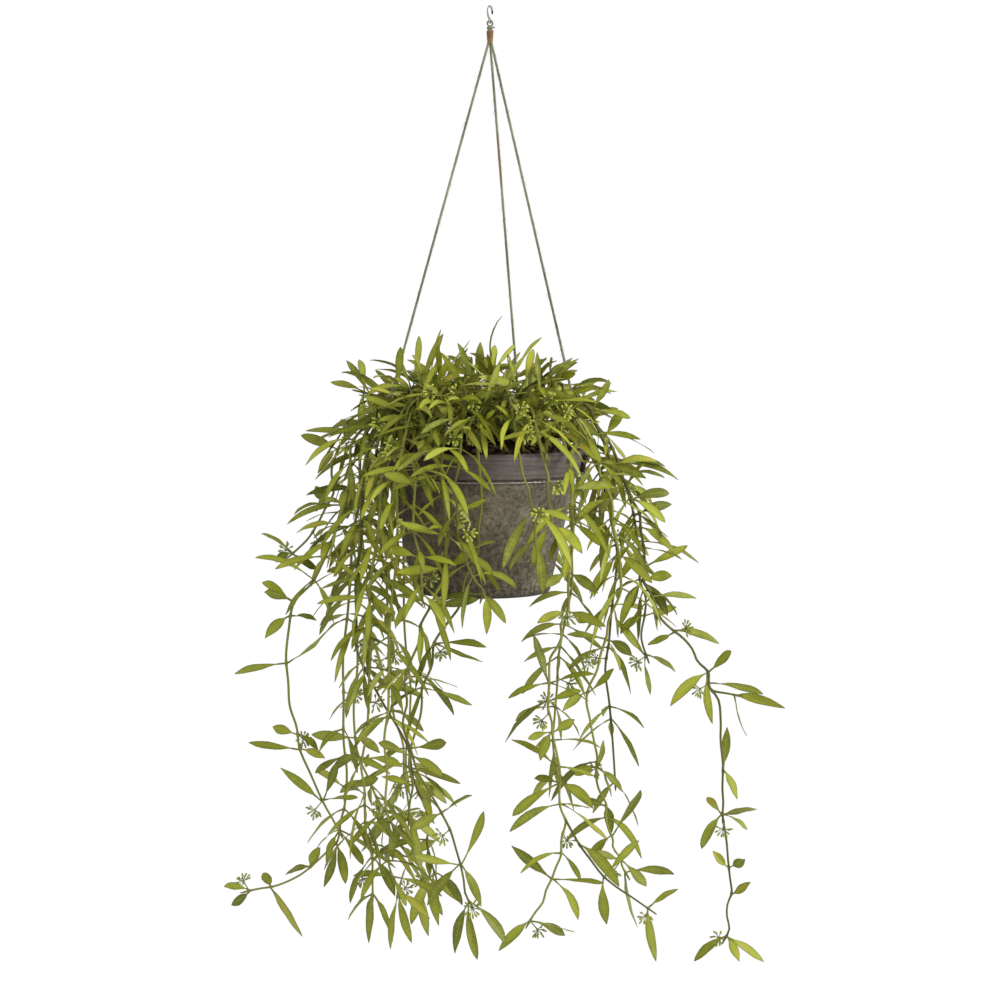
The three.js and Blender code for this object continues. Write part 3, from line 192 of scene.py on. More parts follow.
# Stretches of a rope that are brown: their low and high end, and how brown they are
BROWN_STRETCHES = {"rope_back": ((-146, -98, 0.9), (-176, -162, 0.35), (-222, -210, 0.3))}

# Where the camera stands in metres, its tilt from straight down in degrees and its lens in
# millimetres. LIGHT_WAY is where the room is brightest, and both lights look at LIGHT_AIM.
CAMERA_PLACE = (0.00815, -2.1, -0.2341)
CAMERA_TILT = 85.4
CAMERA_LENS = 91.64
LIGHT_WAY = (0.7, -0.2, 0.68)
LIGHT_AIM = (0, 0, -0.45)

# Sizes of the plant, the same as in the part's source
STEM_R = 1.25
STEM_TIP_R = 0.85
LEAF_LONG = 47
LEAF_SHORT = 28
LEAF_WIDTH = 6.5
WHORL_GAP = 25
WHORLS_APART = 5
WANDER = 2.6
ROUTE_STEPS = 12
KEEP_CLEAR = 0.8
OWN_CLEAR = 0.3
HOME_R = 9
KEPT_EACH = 5

# Between the source's leaves grow more of them, which may come as near as this share of the room
# that the source's leaves keep. In the dome their whorls stand as far apart as the first gap and
# lower down as the second, where only a share of them keeps its leaves.
FILL_EASE = 0.44
FILL_GAP = (9, 14)
FILL_SHARE = 0.36

# How far within the part's box the tips of those leaves stay, how many balls the room that is taken
# can hold, and how far round a leaf they are looked at
BOX_MARGIN = 3
ROOM_MOST = 24000
ROOM_NEAR = 12

# Where the plant is thinner or denser than that: the left, right, high and low edge of a zone seen
# from the front, the share of the whorls there that keep their leaves, and how far back the zone
# reaches, where that isn't its whole depth. The first zone is the part of the rim and the body that
# shows at the front right, and the second the front of the dome.
FILL_ZONES = (
    (-12, 60, -352, -470, 0, -30),
    (-300, 300, -334, -366, 0.45, -44),
    (-150, -78, -270, -362, 0.2),
    (70, 160, -270, -360, 0.18),
    (-76, -4, -474, -560, 0.05),
    (84, 126, -478, -625, 0.1),
    (-150, -106, -520, -556, 0.15),
    (-150, -64, -556, -628, 0.15),
    (-108, -74, -682, -720, 1.0),
    (118, 165, -440, -492, 0.3),
    (-150, -70, -640, -725, 0.42),
    (14, 100, -605, -700, 0.6),
    (-116, -8, -384, -474, 0.8),
)


def fork(start, buds, way, tips):
    """A side shoot: the height where it leaves its stem, and the rest as for a stem."""
    return {"from": start, "buds": buds, "way": way, "tips": tips}


def trail(place, turn, foot, top, seed, wild, buds, way, tips, *twigs):
    """A trailing stem. turn is the direction in plan in which it leaves the pot, foot its distance
    from the pot's axis where it stands in the soil, and top its height on the way to the rim. wild
    are the height bands where the leaves come by the rule alone, and buds the heights of the
    umbels. way is its route beyond the rim. tips are leaves by the height of their whorl, each as
    its reach across and up."""
    grown = {"name": "stem_" + place, "turn": turn, "foot": foot, "top": top, "seed": seed, "twigs": twigs}
    return {**grown, "wild": wild, "buds": buds, "way": way, "tips": tips}


STEMS = [
    trail("left_far", 168, 52, -318, 11, [(-300, -352)], [-430, -446],
         [(-118, 12, -338), (-128, 12, -362), (-131, 10, -397), (-144, 8, -423), (-165, 6, -451)],
         [(-362, (-29, 12), (-17, -21)), (-389, (26, -20)), (-408, (-26, -8), (-9, 15)),
          (-449, (-26, 15), (19, -13), (-14, -8))]),
    trail("left_long", 193, 60, -322, 12, [(-300, -470)], [-600, -640],
         [(-110, -34, -350), (-118, -42, -400), (-134, -47, -452), (-157, -47, -483), (-168, -45, -528),
          (-162, -43, -568), (-153, -42, -604), (-139, -42, -647), (-124, -42, -676)],
         [(-483, (-24, 17), (-24, 7)), (-494, (-19, -17), (20, -4)), (-533, (-40, -7), (30, 24)),
          (-592, (-19, 7), (16, -12)), (-604, (-40, 7), (20, -7)), (-647, (-32, 31), (28, 1), (12, 34)),
          (-673, (20, -24), (-10, -30))]),
    trail("left_sweep", 176, 38, -312, 13, [(-300, -420), (-490, -620)], [-560, -724],
         [(-104, -3, -350), (-108, -12, -400), (-114, -16, -460), (-121, -20, -530), (-122, -22, -600),
          (-119, -22, -652), (-128, -22, -684), (-149, -24, -708), (-176, -26, -721), (-203, -28, -726)],
         [(-640, (26, 10), (-22, 14)), (-686, (-12, -40), (8, -30)), (-706, (-21, -9), (8, 14)),
          (-722, (26, -39), (-6, 12)), (-725, (-16, -13), (-20, 5))]),
    trail("left_inner", 156, 58, -320, 14, [(-300, -410), (-490, -575)], [-620, -724],
         [(-100, 32, -352), (-108, 30, -400), (-112, 28, -460), (-114, 26, -522), (-115, 24, -574),
          (-111, 22, -620), (-97, 20, -656), (-78, 18, -691), (-57, 16, -728)],
         [(-606, (-35, 5), (20, -12)), (-640, (-24, -14), (22, 12)), (-676, (-18, -22), (24, 8)),
          (-706, (-24, 4), (22, 12)), (-726, (7, -44), (18, -29), (32, -24))]),
    trail("left_low", 212, 47, -316, 15, [(-300, -400), (-470, -670)], [-560, -704],
         [(-84, -70, -360), (-90, -74, -420), (-94, -74, -480), (-96, -72, -540), (-98, -68, -580),
          (-104, -66, -614), (-101, -64, -650), (-97, -62, -690), (-93, -60, -724)],
         [(-690, (-16, -34), (18, -30)), (-720, (-4, -44), (16, -36), (-20, -24))]),
    trail("left_bush", 222, 62, -324, 16, [(-300, -400), (-480, -700)], [-520, -640, -708],
         [(-70, -84, -360), (-74, -90, -420), (-78, -90, -480), (-82, -86, -540), (-83, -82, -590),
          (-84, -80, -640), (-80, -78, -690), (-74, -76, -718)],
         [(-714, (-6, -42), (10, -44), (24, -20))]),
    trail("left_back", 144, 44, -314, 17, [(-300, -430), (-480, -700)], [-540],
         [(-88, 58, -354), (-94, 60, -420), (-90, 58, -480), (-84, 54, -540), (-80, 46, -590),
          (-74, 42, -640), (-70, 38, -690), (-66, 36, -714)],
         [(-710, (-12, -36), (16, -40))]),
    trail("left_middle", 202, 36, -308, 18, [(-300, -540), (-560, -690)], [-510, -660],
         [(-96, -50, -356), (-104, -56, -400), (-106, -60, -460), (-108, -58, -520), (-70, -42, -600),
          (-52, -38, -660), (-46, -38, -712)],
         [(-708, (-18, -38), (4, -46), (22, -30))]),
    trail("front_trail", 249, 52, -322, 21, [(-300, -400), (-520, -590)], [-409, -660, -716],
         [(-38, -94, -366), (-35, -97, -409), (-31, -97, -428), (-36, -94, -452), (-47, -90, -482),
          (-58, -94, -508), (-66, -98, -540), (-69, -98, -574), (-56, -94, -613), (-38, -90, -647),
          (-28, -88, -676), (-22, -86, -702), (-14, -86, -724)],
         [(-425, (22, -24), (-39, 14)), (-450, (-40, -3), (21, 13)), (-481, (-30, 22), (38, 9), (16, -40)),
          (-600, (-26, 12), (24, -14)), (-647, (24, 16), (-24, -12)),
          (-689, (-37, 10), (18, 45), (-26, -35), (16, -32)), (-720, (29, -34), (-11, -44), (7, -45))]),
    trail("front_short", 258, 36, -312, 22, [(-300, -376)], [-420],
         [(-24, -97, -366), (-26, -103, -400), (-20, -106, -437), (-9, -103, -460), (-5, -100, -474)],
         [(-404, (22, 10), (-14, -26)), (-437, (24, 8), (22, -16)), (-470, (-42, -12), (2, -30), (17, -24))]),
    trail("front_low", 268, 60, -326, 23, [(-300, -360)], [-505, -640],
         [(-9, -92, -362), (-7, -87, -400), (-12, -82, -440), (-24, -80, -480), (-42, -76, -512),
          (-52, -70, -549), (-58, -62, -575), (-62, -60, -600), (-65, -58, -630), (-64, -58, -662)],
         [(-512, (41, -2), (38, -12), (-15, -37)), (-549, (39, -17), (-24, -16)), (-600, (28, 6), (-22, -12)),
          (-630, (26, -18), (-24, 8)), (-658, (10, -40), (-16, -34), (24, -22))]),
    trail("front_right", 290, 40, -310, 24, [(-300, -364)], [-397],
         [(24, -92, -364), (31, -97, -388), (37, -97, -406), (39, -96, -432)],
         [(-404, (-24, -45), (29, -46), (28, -8)), (-428, (6, -44), (-20, -24))]),
    trail("front_side", 303, 62, -324, 25, [(-300, -366)], [-380],
         [(42, -82, -362), (46, -88, -392), (49, -88, -420)],
         [(-416, (14, -40), (24, -24), (-14, -34))]),
    trail("front_left", 237, 32, -310, 26, [(-300, -372)], [-412, -455],
         [(-58, -88, -364), (-60, -96, -400), (-57, -102, -440), (-55, -104, -474)],
         [(-384, (29, -7), (-24, 10)), (-400, (26, -26), (-22, -18)), (-440, (-26, 6), (28, -6)),
          (-470, (-20, -24), (18, -26))]),
    trail("right_long", 318, 56, -320, 31, [(-300, -380), (-400, -440)], [-497, -555, -572, -671, -745],
         [(62, -66, -360), (66, -69, -400), (63, -66, -456), (61, -62, -487), (57, -60, -509),
          (48, -58, -528), (49, -56, -568), (51, -55, -590), (54, -54, -614), (59, -54, -640),
          (61, -54, -662), (58, -54, -689), (51, -54, -709), (41, -54, -728), (31, -54, -748)],
         [(-389, (35, 0)), (-457, (22, -15), (-20, -10)), (-488, (-24, -9), (14, -10), (29, -11)),
          (-547, (-32, -12), (-12, 37), (35, 10), (31, -13)), (-562, (-34, -32), (26, 8)),
          (-588, (-19, -4), (17, 10), (-9, -22)), (-616, (-38, 20), (28, -7)),
          (-630, (-38, -24), (26, -22), (-20, 2)), (-647, (24, -5), (38, -29), (-40, -20)),
          (-709, (-32, 25), (41, 0), (21, -36)), (-744, (35, -6), (28, -16), (-25, -22))],
         fork(-659, [-734],
              [(66, -56, -668), (73, -58, -680), (82, -60, -692), (92, -60, -705), (104, -60, -715),
               (116, -60, -723), (133, -60, -735)],
              [(-680, (31, -30)), (-706, (27, 31), (3, -40)), (-732, (24, 14), (6, -38))])),
    trail("right_inner", 40, 54, -318, 32, [(-300, -420), (-480, -630)], [-560],
         [(66, 60, -360), (72, 64, -420), (67, 62, -480), (59, 56, -540), (55, 52, -590), (57, 48, -644)],
         [(-640, (14, -36), (-20, -26))]),
    trail("right_side", 334, 46, -312, 33, [(-300, -430), (-460, -500)], [-532, -625, -706],
         [(84, -46, -358), (99, -48, -400), (105, -46, -440), (105, -44, -469), (101, -42, -489),
          (94, -40, -511), (86, -38, -540), (81, -36, -565), (83, -34, -590), (87, -32, -614),
          (91, -30, -640), (97, -28, -662), (101, -26, -682), (106, -24, -698), (112, -22, -714)],
         [(-444, (25, -21), (-23, -35)), (-514, (-31, 5), (20, -12), (12, -28)), (-558, (20, 22), (-20, -14)),
          (-621, (-17, -6), (5, 24), (20, -18)), (-654, (4, -24), (-20, 6)), (-679, (22, 41), (-16, -20)),
          (-700, (-22, 8), (20, -20)), (-711, (40, -3), (10, -43))]),
    trail("right_back", 22, 60, -322, 34, [(-300, -460), (-490, -640)], [-430, -540],
         [(84, 36, -358), (98, 38, -400), (106, 36, -450), (104, 34, -500), (99, 32, -550), (101, 32, -600),
          (106, 32, -650)],
         [(-646, (18, -34), (-18, -28))]),
    trail("right_far", 352, 40, -306, 35, [(-295, -320)], [-340, -395, -435, -515, -561, -668, -766],
         [(81, -18, -327), (92, -20, -349), (103, -21, -372), (113, -21, -393), (120, -21, -412),
          (124, -21, -440), (127, -21, -468), (136, -21, -490), (149, -21, -507), (167, -21, -525),
          (178, -21, -544), (186, -21, -567), (189, -21, -601), (191, -21, -640), (193, -21, -664),
          (197, -21, -702), (200, -21, -728), (199, -21, -748), (196, -21, -769)],
         [(-329, (13, 26), (31, -6)), (-351, (-20, 18), (16, 22)), (-373, (36, 1), (-12, -26)),
          (-389, (14, 18), (-20, -12)), (-401, (30, 4), (26, -19)), (-412, (-14, -28), (26, 6)),
          (-424, (26, -20)), (-441, (30, -9), (-18, -24)), (-456, (35, 16)),
          (-468, (22, 4), (-18, -37), (-14, -30)), (-510, (37, -12), (-22, -10)),
          (-544, (17, 19), (-31, -26), (6, -46)), (-553, (42, -6)), (-625, (4, 34), (10, -22)),
          (-662, (-12, 13), (26, 7), (19, -12), (-17, -27)), (-707, (-13, 15), (12, 8)), (-729, (14, 12)),
          (-765, (-26, -20), (32, -25), (10, -20))],
         fork(-559, [],
              [(188, -23, -560), (196, -24, -561), (205, -25, -563)],
              [(-562.3, (41, -10), (12, -36))])),
    trail("right_hub", 8, 58, -320, 36, [(-300, -455)], [-524],
         [(92, 10, -346), (112, 10, -388), (122, 8, -430), (127, 6, -470), (127, 4, -500), (129, 2, -537)],
         [(-470, (-16, -8), (22, -30)), (-500, (26, 6), (-20, -14)), (-533, (-24, 30), (24, -15), (4, -32))]),
    trail("back_right", 58, 44, -312, 41, [(-300, -480)], [-400],
         [(42, 90, -360), (46, 94, -420), (44, 92, -464)],
         []),
    trail("back_middle", 84, 60, -322, 42, [(-300, -470)], [-420],
         [(2, 94, -362), (4, 98, -410), (2, 96, -452)],
         []),
    trail("back_left", 106, 46, -314, 43, [(-300, -470)], [-390],
         [(-36, 92, -362), (-40, 96, -410), (-42, 94, -458)],
         []),
    trail("back_long", 126, 60, -322, 44, [(-300, -640)], [-470],
         [(-66, 80, -360), (-72, 84, -420), (-73, 82, -480), (-72, 80, -540), (-70, 76, -600),
          (-73, 72, -652)],
         [(-648, (-14, -34), (20, -28))]),
]

# The upright shoots: direction and distance of the foot in plan, outward lean of the tip, height of
# the tip, and seed
SHOOTS = [
    (30, 14, 20, -300, 61), (96, 24, 26, -302, 62), (160, 18, 34, -300, 63), (214, 22, 40, -306, 64),
    (264, 20, 30, -304, 65), (312, 26, 34, -306, 66), (350, 22, 34, -298, 67), (50, 32, 40, -314, 68),
    (134, 34, 44, -314, 69), (189, 30, 74, -312, 70), (0, 5, 3, -284, 81),
]


def add(a, b):
    return [a[0] + b[0], a[1] + b[1], a[2] + b[2]]


def sub(a, b):
    return [a[0] - b[0], a[1] - b[1], a[2] - b[2]]


def mul(a, k):
    return [a[0] * k, a[1] * k, a[2] * k]


def dot(a, b):
    return a[0] * b[0] + a[1] * b[1] + a[2] * b[2]


def size(a):
    return math.sqrt(dot(a, a))


def unit(a):
    return mul(a, 1 / size(a))


def cross(a, b):
    return [a[1] * b[2] - a[2] * b[1], a[2] * b[0] - a[0] * b[2], a[0] * b[1] - a[1] * b[0]]


def mix(a, b, t):
    return add(mul(a, 1 - t), mul(b, t))


def dice(seed):
    """A seeded draw between 0 and 1, the same as the part's source makes."""
    state = seed * 7919 + 104729

    def roll():
        nonlocal state
        state = state * 16807 % 2147483647
        return state / 2147483647

    return roll


def soil_top(rho):
    """Height of the soil's mound at a distance from the pot's axis."""
    share = min(rho / SOIL_R, 1)
    return SOIL_EDGE_Z + SOIL_MOUND * (1 - share * share)


class Route:
    """A smooth line through the given points, with its length and a frame carried along it."""

    def __init__(self, points):
        self.at = []
        last_one = len(points) - 1
        for i in range(last_one):
            near = points[max(i - 1, 0)], points[i], points[i + 1], points[min(i + 2, last_one)]
            for k in range(ROUTE_STEPS):
                t = k / ROUTE_STEPS
                spot = []
                for a, b, c, d in zip(*near):
                    curve = 2 * b + (c - a) * t + (2 * a - 5 * b + 4 * c - d) * t * t
                    spot.append(0.5 * (curve + (3 * b - a - 3 * c + d) * t * t * t))
                self.at.append(spot)
        self.at.append(points[last_one])
        end = len(self.at) - 1
        self.far = [0]
        for i in range(1, end + 1):
            self.far.append(self.far[i - 1] + size(sub(self.at[i], self.at[i - 1])))
        self.along = [unit(sub(self.at[min(i + 1, end)], self.at[max(i - 1, 0)])) for i in range(end + 1)]
        self.side = []
        last = [0.8, 0.6, 0]
        for way in self.along:
            last = unit(sub(last, mul(way, dot(last, way))))
            self.side.append(last)
        self.length = self.far[-1]

    def spot(self, d):
        """The point at a distance along, and the directions along, aside and across there."""
        i = 0
        while i < len(self.far) - 2 and self.far[i + 1] < d:
            i += 1
        t = min(max((d - self.far[i]) / (self.far[i + 1] - self.far[i]), 0), 1)
        along = unit(mix(self.along[i], self.along[i + 1], t))
        rough = mix(self.side[i], self.side[i + 1], t)
        side = unit(sub(rough, mul(along, dot(rough, along))))
        p = mix(self.at[i], self.at[i + 1], t)
        return {"p": p, "along": along, "side": side, "other": cross(along, side)}

    def where(self, z):
        """The distance along at which the line last comes down to a height."""
        found = self.length - 4
        for i in range(1, len(self.at)):
            a, b = self.at[i - 1][2], self.at[i][2]
            if a > z and b <= z:
                found = self.far[i - 1] + ((a - z) / (a - b)) * (self.far[i] - self.far[i - 1])
        return min(found, self.length - 4)


def round_pot(turn, rho, z):
    """The point at a direction in plan, a distance from the pot's axis and a height."""
    return [POT_X + rho * math.cos(math.radians(turn)), rho * math.sin(math.radians(turn)), z]


def rise(turn, foot):
    """The first points of a plant, straight up out of its hole in the soil."""
    ground = soil_top(foot)
    steps = [(0, 1.5 - HOLE_DEPTH), (0, -2), (0, 6)]
    return [round_pot(turn, foot + out, ground + up) for out, up in steps], ground


def strayed(stem):
    """The way of a stem with a point more between each two, all but the first strayed by the draw."""
    roll, points, way = dice(stem["seed"] + 77), [], stem["way"]
    for i, p in enumerate(way):
        much = 0 if i == 0 else WANDER
        points.append(add(p, [(roll() * 2 - 1) * much, (roll() * 2 - 1) * much, 0]))
        if i + 1 < len(way):
            half = mul(add(p, way[i + 1]), 0.5)
            points.append(add(half, [(roll() * 2 - 1) * WANDER, (roll() * 2 - 1) * WANDER, 0]))
    return points


def stem_route(stem):
    """The whole route of a trailing stem, from its hole in the soil over the rim."""
    turn, foot = stem["turn"], stem["foot"]
    first, ground = rise(turn, foot)
    first.append(round_pot(turn, foot + 1.5, ground + 14))
    first.append(round_pot(turn, foot + (86 - foot) * 0.45, stem["top"]))
    return Route(first + strayed(stem))


def shoot_route(turn, foot, lean, top):
    """The whole route of an upright shoot."""
    first, ground = rise(turn, foot)
    first.append(round_pot(turn, foot + 1, ground + 14))
    first.append(round_pot(turn, foot + lean * 0.26, ground + (top - ground) * 0.62))
    first.append(round_pot(turn, foot + lean, top))
    return Route(first)


def off_pot(p, r):
    """Whether a ball of radius r at p stays off the pot and the soil."""
    rho = math.sqrt((p[0] - POT_X) * (p[0] - POT_X) + p[1] * p[1])
    z = p[2]
    gap = r * 0.8 + 0.7
    if z < POT_FOOT_Z - gap:
        return rho > 60 or z < POT_FOOT_Z - 8
    if z > RIM_TOP_Z + gap:
        return rho > RIM_TOP_R or z > soil_top(rho) + gap
    share = (RIM_LOW_Z - z) / (RIM_LOW_Z - POT_FOOT_Z)
    body = BODY_TOP_R + (BODY_LOW_R - BODY_TOP_R) * share
    outer = RIM_TOP_R + 1.5 if z > RIM_LOW_Z - gap else body + 0.5
    return rho > outer + gap or (rho < SOIL_R - gap and z > soil_top(rho) + gap)


class Room:
    """Everything that leaves keep clear of, as balls along its middle."""

    def __init__(self):
        self.place = np.zeros((ROOM_MOST, 3))
        self.reach = np.zeros(ROOM_MOST)
        self.owner = np.zeros(ROOM_MOST, int)
        self.count = 0
        self.codes = {}

    def take(self, p, r, owner):
        self.place[self.count] = p
        self.reach[self.count] = r
        self.owner[self.count] = self.codes.setdefault(owner, len(self.codes))
        self.count += 1

    def take_route(self, route, r, owner):
        d = 0
        while d <= route.length:
            self.take(route.spot(d)["p"], r, owner)
            d += 4
        tip = route.spot(route.length)
        self.take(add(tip["p"], mul(tip["along"], 3)), r, owner)

    def is_free(self, balls, root, owner, ease=1.0):
        """Whether balls along a leaf or umbel stay clear of all that is taken."""
        if not all(off_pot(p, r) for p, r in balls):
            return False
        spots = np.array([p for p, _ in balls])
        own = self.owner[: self.count] == self.codes.get(owner, -1)
        low, high = spots.min(0) - ROOM_NEAR, spots.max(0) + ROOM_NEAR
        near = np.all((self.place[: self.count] > low) & (self.place[: self.count] < high), axis=1)
        off = self.place[: self.count] - np.array(root)
        away = np.sqrt(off[:, 0] * off[:, 0] + off[:, 1] * off[:, 1] + off[:, 2] * off[:, 2])
        home = own & (away < HOME_R)
        pick = near & ~home
        place, reach = self.place[: self.count][pick], self.reach[: self.count][pick]
        gap = np.where(own[pick], OWN_CLEAR, KEEP_CLEAR)
        for p, r in balls:
            need = (reach + r + gap) * ease
            dx, dy, dz = place[:, 0] - p[0], place[:, 1] - p[1], place[:, 2] - p[2]
            if np.any(dx * dx + dy * dy + dz * dz < need * need):
                return False
        return True


def half_width(leaf, t):
    """The half width that the source reserves for a blade at a share of its length."""
    if t < 0.14:
        return 0.75
    u = (t - 0.14) / 0.86
    shape = 2.6 * math.pow(u, 0.75) * math.pow(1 - u, 0.8)
    return max(0.3, min(1, shape) * leaf["width"] * 0.5)


def make_leaf(root, reach, outward, arch, roll, width):
    """A leaf from its root, reach, outward direction off the stem, arch, roll and width."""
    long = size(reach)
    bow = add(mul(outward, long * 0.12), [0, 0, arch * long])
    knee = add(root, add(mul(reach, 0.45), bow))
    front = -0.9 if root[1] < 12 else 0.9
    sky = [0.25 if root[0] > 0 else -0.25, front, 0.75]
    way = unit(reach)
    flat = sub(sky, mul(way, dot(sky, way)))
    if size(flat) < 0.2:
        flat = cross(way, [1, 0, 0])
    up = unit(flat)
    across = cross(up, way)
    cr, sr = math.cos(roll), math.sin(roll)
    return {
        "root": root,
        "knee": knee,
        "tip": add(root, reach),
        "long": long,
        "width": width,
        "across": add(mul(across, cr), mul(up, sr)),
        "up": sub(mul(up, cr), mul(across, sr)),
    }


def leaf_point(leaf, t):
    a = (1 - t) * (1 - t)
    b = 2 * t * (1 - t)
    return add(add(mul(leaf["root"], a), mul(leaf["knee"], b)), mul(leaf["tip"], t * t))


def place_leaf(room, tries, owner, root, ease=1.0):
    """The first of the tries that is clear keeps its place."""
    for leaf in tries:
        balls = [
            (leaf_point(leaf, t), max(half_width(leaf, t) * 0.93, 0.9))
            for t in (0.18, 0.3, 0.42, 0.54, 0.66, 0.78, 0.9, 1)
        ]
        if room.is_free(balls, root, owner, ease):
            for p, r in balls:
                room.take(p, r, owner)
            return [leaf]
    return []


def leaf_by_reach(room, plant, at, reach, roll):
    """A leaf whose reach across and up is given. The draw gives its depth, arch, roll and width."""
    flat = math.sqrt(reach[0] * reach[0] + reach[1] * reach[1])
    side = -1 if at["p"][1] < 0 else 1
    depth = flat * (0.1 + 0.4 * roll())
    depth *= side if roll() < 0.7 else -side
    arch = 0.02 + 0.14 * roll()
    turn = (roll() - 0.5) * 1.8
    width = LEAF_WIDTH * (0.84 + 0.3 * roll())
    depths = [depth, -depth, depth * 2, -depth * 2, depth * 0.2]
    depths += [depth + 14, depth - 14, depth + 24, depth - 24, depth, -depth]
    shares = [1, 1, 1, 1, 0.9, 0.9, 0.9, 0.85, 0.85, 0.7, 0.7]
    tries = []
    for dy, k in zip(depths, shares):
        aim = [reach[0] * k, dy, reach[1] * k]
        across = sub(aim, mul(at["along"], dot(aim, at["along"])))
        outward = unit(across) if size(across) > 4 else at["side"]
        tries.append(make_leaf(add(at["p"], outward), aim, outward, arch, turn, width))
    return place_leaf(room, tries, plant["owner"], at["p"])


def leaf_by_rule(room, plant, at, turn, roll, fill=False):
    """A leaf turned round the stem, with a drawn length, tilt, arch, roll and width. One that fills
    is longer and narrower, hangs more where its stem hangs, and stays within the part's box."""
    long = LEAF_SHORT + (LEAF_LONG - LEAF_SHORT) * roll()
    tilt = -0.2 + 1.4 * roll()
    lift = 0.3 * roll() - 0.25
    arch = 0.03 + 0.2 * roll()
    twist = (roll() - 0.5) * 2.4
    width = LEAF_WIDTH * (0.8 + 0.34 * roll())
    if fill:
        long *= 1.06 + 0.2 * roll()
        width *= 0.84
        tilt += 0.5 * roll() * (-at["along"][2] > 0.3)
    tries = []
    for i, shift in enumerate([0, 24, -24, 48, -48, 75, -75, 110, -110]):
        a = turn + (shift * math.pi) / 180
        k = 1 - 0.035 * i
        outward = add(mul(at["side"], math.cos(a)), mul(at["other"], math.sin(a)))
        aim = unit(add(add(outward, mul(at["along"], tilt)), [0, 0, lift]))
        tries.append(make_leaf(add(at["p"], outward), mul(aim, long * k), outward, arch, twist, width))
    if fill:
        low, high = (np.array(corner) / MM for corner in CAD_BOX)
        tips = np.array([leaf["tip"] for leaf in tries])
        inside = np.all((tips > low + BOX_MARGIN) & (tips < high - BOX_MARGIN), axis=1)
        tries = [leaf for leaf, fits in zip(tries, inside) if fits]
    return place_leaf(room, tries, plant["owner"], at["p"], FILL_EASE if fill else 1.0)


def place_umbel(room, plant, at, roll, ease=1.0):
    """An umbel on its stalk, turned round the stem to where it is clear."""
    first = roll() * math.pi * 2
    drop = 0.5 * roll() - 0.1
    stalk = 8 + 3 * roll()
    for shift in (0, 50, -50, 100, -100, 150, -150, 180):
        a = first + (shift * math.pi) / 180
        outward = add(mul(at["side"], math.cos(a)), mul(at["other"], math.sin(a)))
        aim = unit(add(outward, add(mul(at["along"], 0.3), [0, 0, -drop])))
        balls = [(add(at["p"], mul(aim, stalk * 0.7)), 1.2), (add(at["p"], mul(aim, stalk + 2.5)), 4.6)]
        if room.is_free(balls, at["p"], plant["owner"], ease):
            for p, r in balls:
                room.take(p, r, plant["owner"])
            return [{"root": at["p"], "aim": aim, "stalk": stalk}]
    return []


def new_whorl(d):
    """A whorl at a distance up its stem, with nothing on it yet."""
    return {"d": d, "reaches": [], "twigs": [], "leaves": [], "fill": [], "umbels": []}


def plan_whorls(plant):
    """The whorls of a stem: the given ones, then those by the rule in the wild bands."""
    route, found = plant["route"], []

    def open_whorl(at):
        while any(abs(w["d"] - at) < WHORLS_APART for w in found):
            at += 1
        found.append(new_whorl(min(at, route.length - 2)))
        return found[-1]

    for z, *reaches in plant["tips"]:
        open_whorl(route.where(z))["reaches"] = reaches
    for twig in plant["twigs"]:
        open_whorl(route.where(twig["from"]))["twigs"].append(twig)
    for z in plant["buds"]:
        d = route.where(z)
        fits = [w for w in found if abs(w["d"] - d) < 12 and "bud" not in w and len(w["reaches"]) < 4]
        whorl = fits[0] if fits else open_whorl(d)
        whorl["bud"] = True
    roll = dice(plant["seed"])
    d = plant["bare"]
    count = 0
    while d < route.length - 3:
        z = route.spot(d)["p"][2]
        apart = all(abs(w["d"] - d) >= WHORLS_APART for w in found)
        if apart and any(low <= z <= high for high, low in plant["wild"]):
            whorl = open_whorl(d)
            whorl["rule"] = 2 if roll() < 0.6 else 3
            whorl["turn"] = roll() * math.pi * 2
            whorl["slight"] = count % plant["each"] != 0
            count += 1
        d += plant["gap"] * (0.75 + 0.5 * roll())
    found.sort(key=lambda w: w["d"])
    for whorl in found:
        whorl["at"] = route.spot(whorl["d"])
    return found


def fill_share(plant, x, y, z):
    """The share of the fill's whorls at a place that keep their leaves."""
    for left, right, high, low, share, *back in FILL_ZONES:
        if left < x < right and low < z < high and all(y < limit for limit in back):
            return share
    wild = any(low <= z <= high for high, low in plant["wild"])
    return np.interp(z, [-560, -420], [FILL_SHARE, 1]) if wild else 0


def fill_leaves(room, plant):
    """The leaves between the source's, in the whorls that it leaves bare and in new ones."""
    roll, route, whorls = dice(plant["seed"] + 1700), plant["route"], plant["whorls"]
    d = plant["bare"] * 0.5
    while d < route.length - 4 and plant["wild"]:
        spot = route.spot(d)
        if fill_share(plant, *spot["p"]) > 0 and all(abs(w["d"] - d) >= 4 for w in whorls):
            whorls.append(new_whorl(d))
            whorls[-1].update({"at": spot, "rule": 2, "turn": roll() * 6.28, "slight": True})
        d += FILL_GAP[0 if spot["p"][2] > -352 else 1] * (0.7 + 0.6 * roll())
    whorls.sort(key=lambda w: w["d"])
    for whorl in whorls:
        if whorl.get("slight") and roll() < fill_share(plant, *whorl["at"]["p"]):
            count = whorl["rule"] + (1 if roll() < 0.35 else 0)
            for k in range(count):
                turn = whorl["turn"] + (k + 0.3 * roll()) * 2 * math.pi / count
                whorl["fill"] += leaf_by_rule(room, plant, whorl["at"], turn, roll, True)
        # Umbels stand in the dome too.
        if whorl.get("slight") and whorl["at"]["p"][2] > -356 and roll() < 0.16:
            whorl["fill_umbels"] = place_umbel(room, plant, whorl["at"], roll, FILL_EASE)


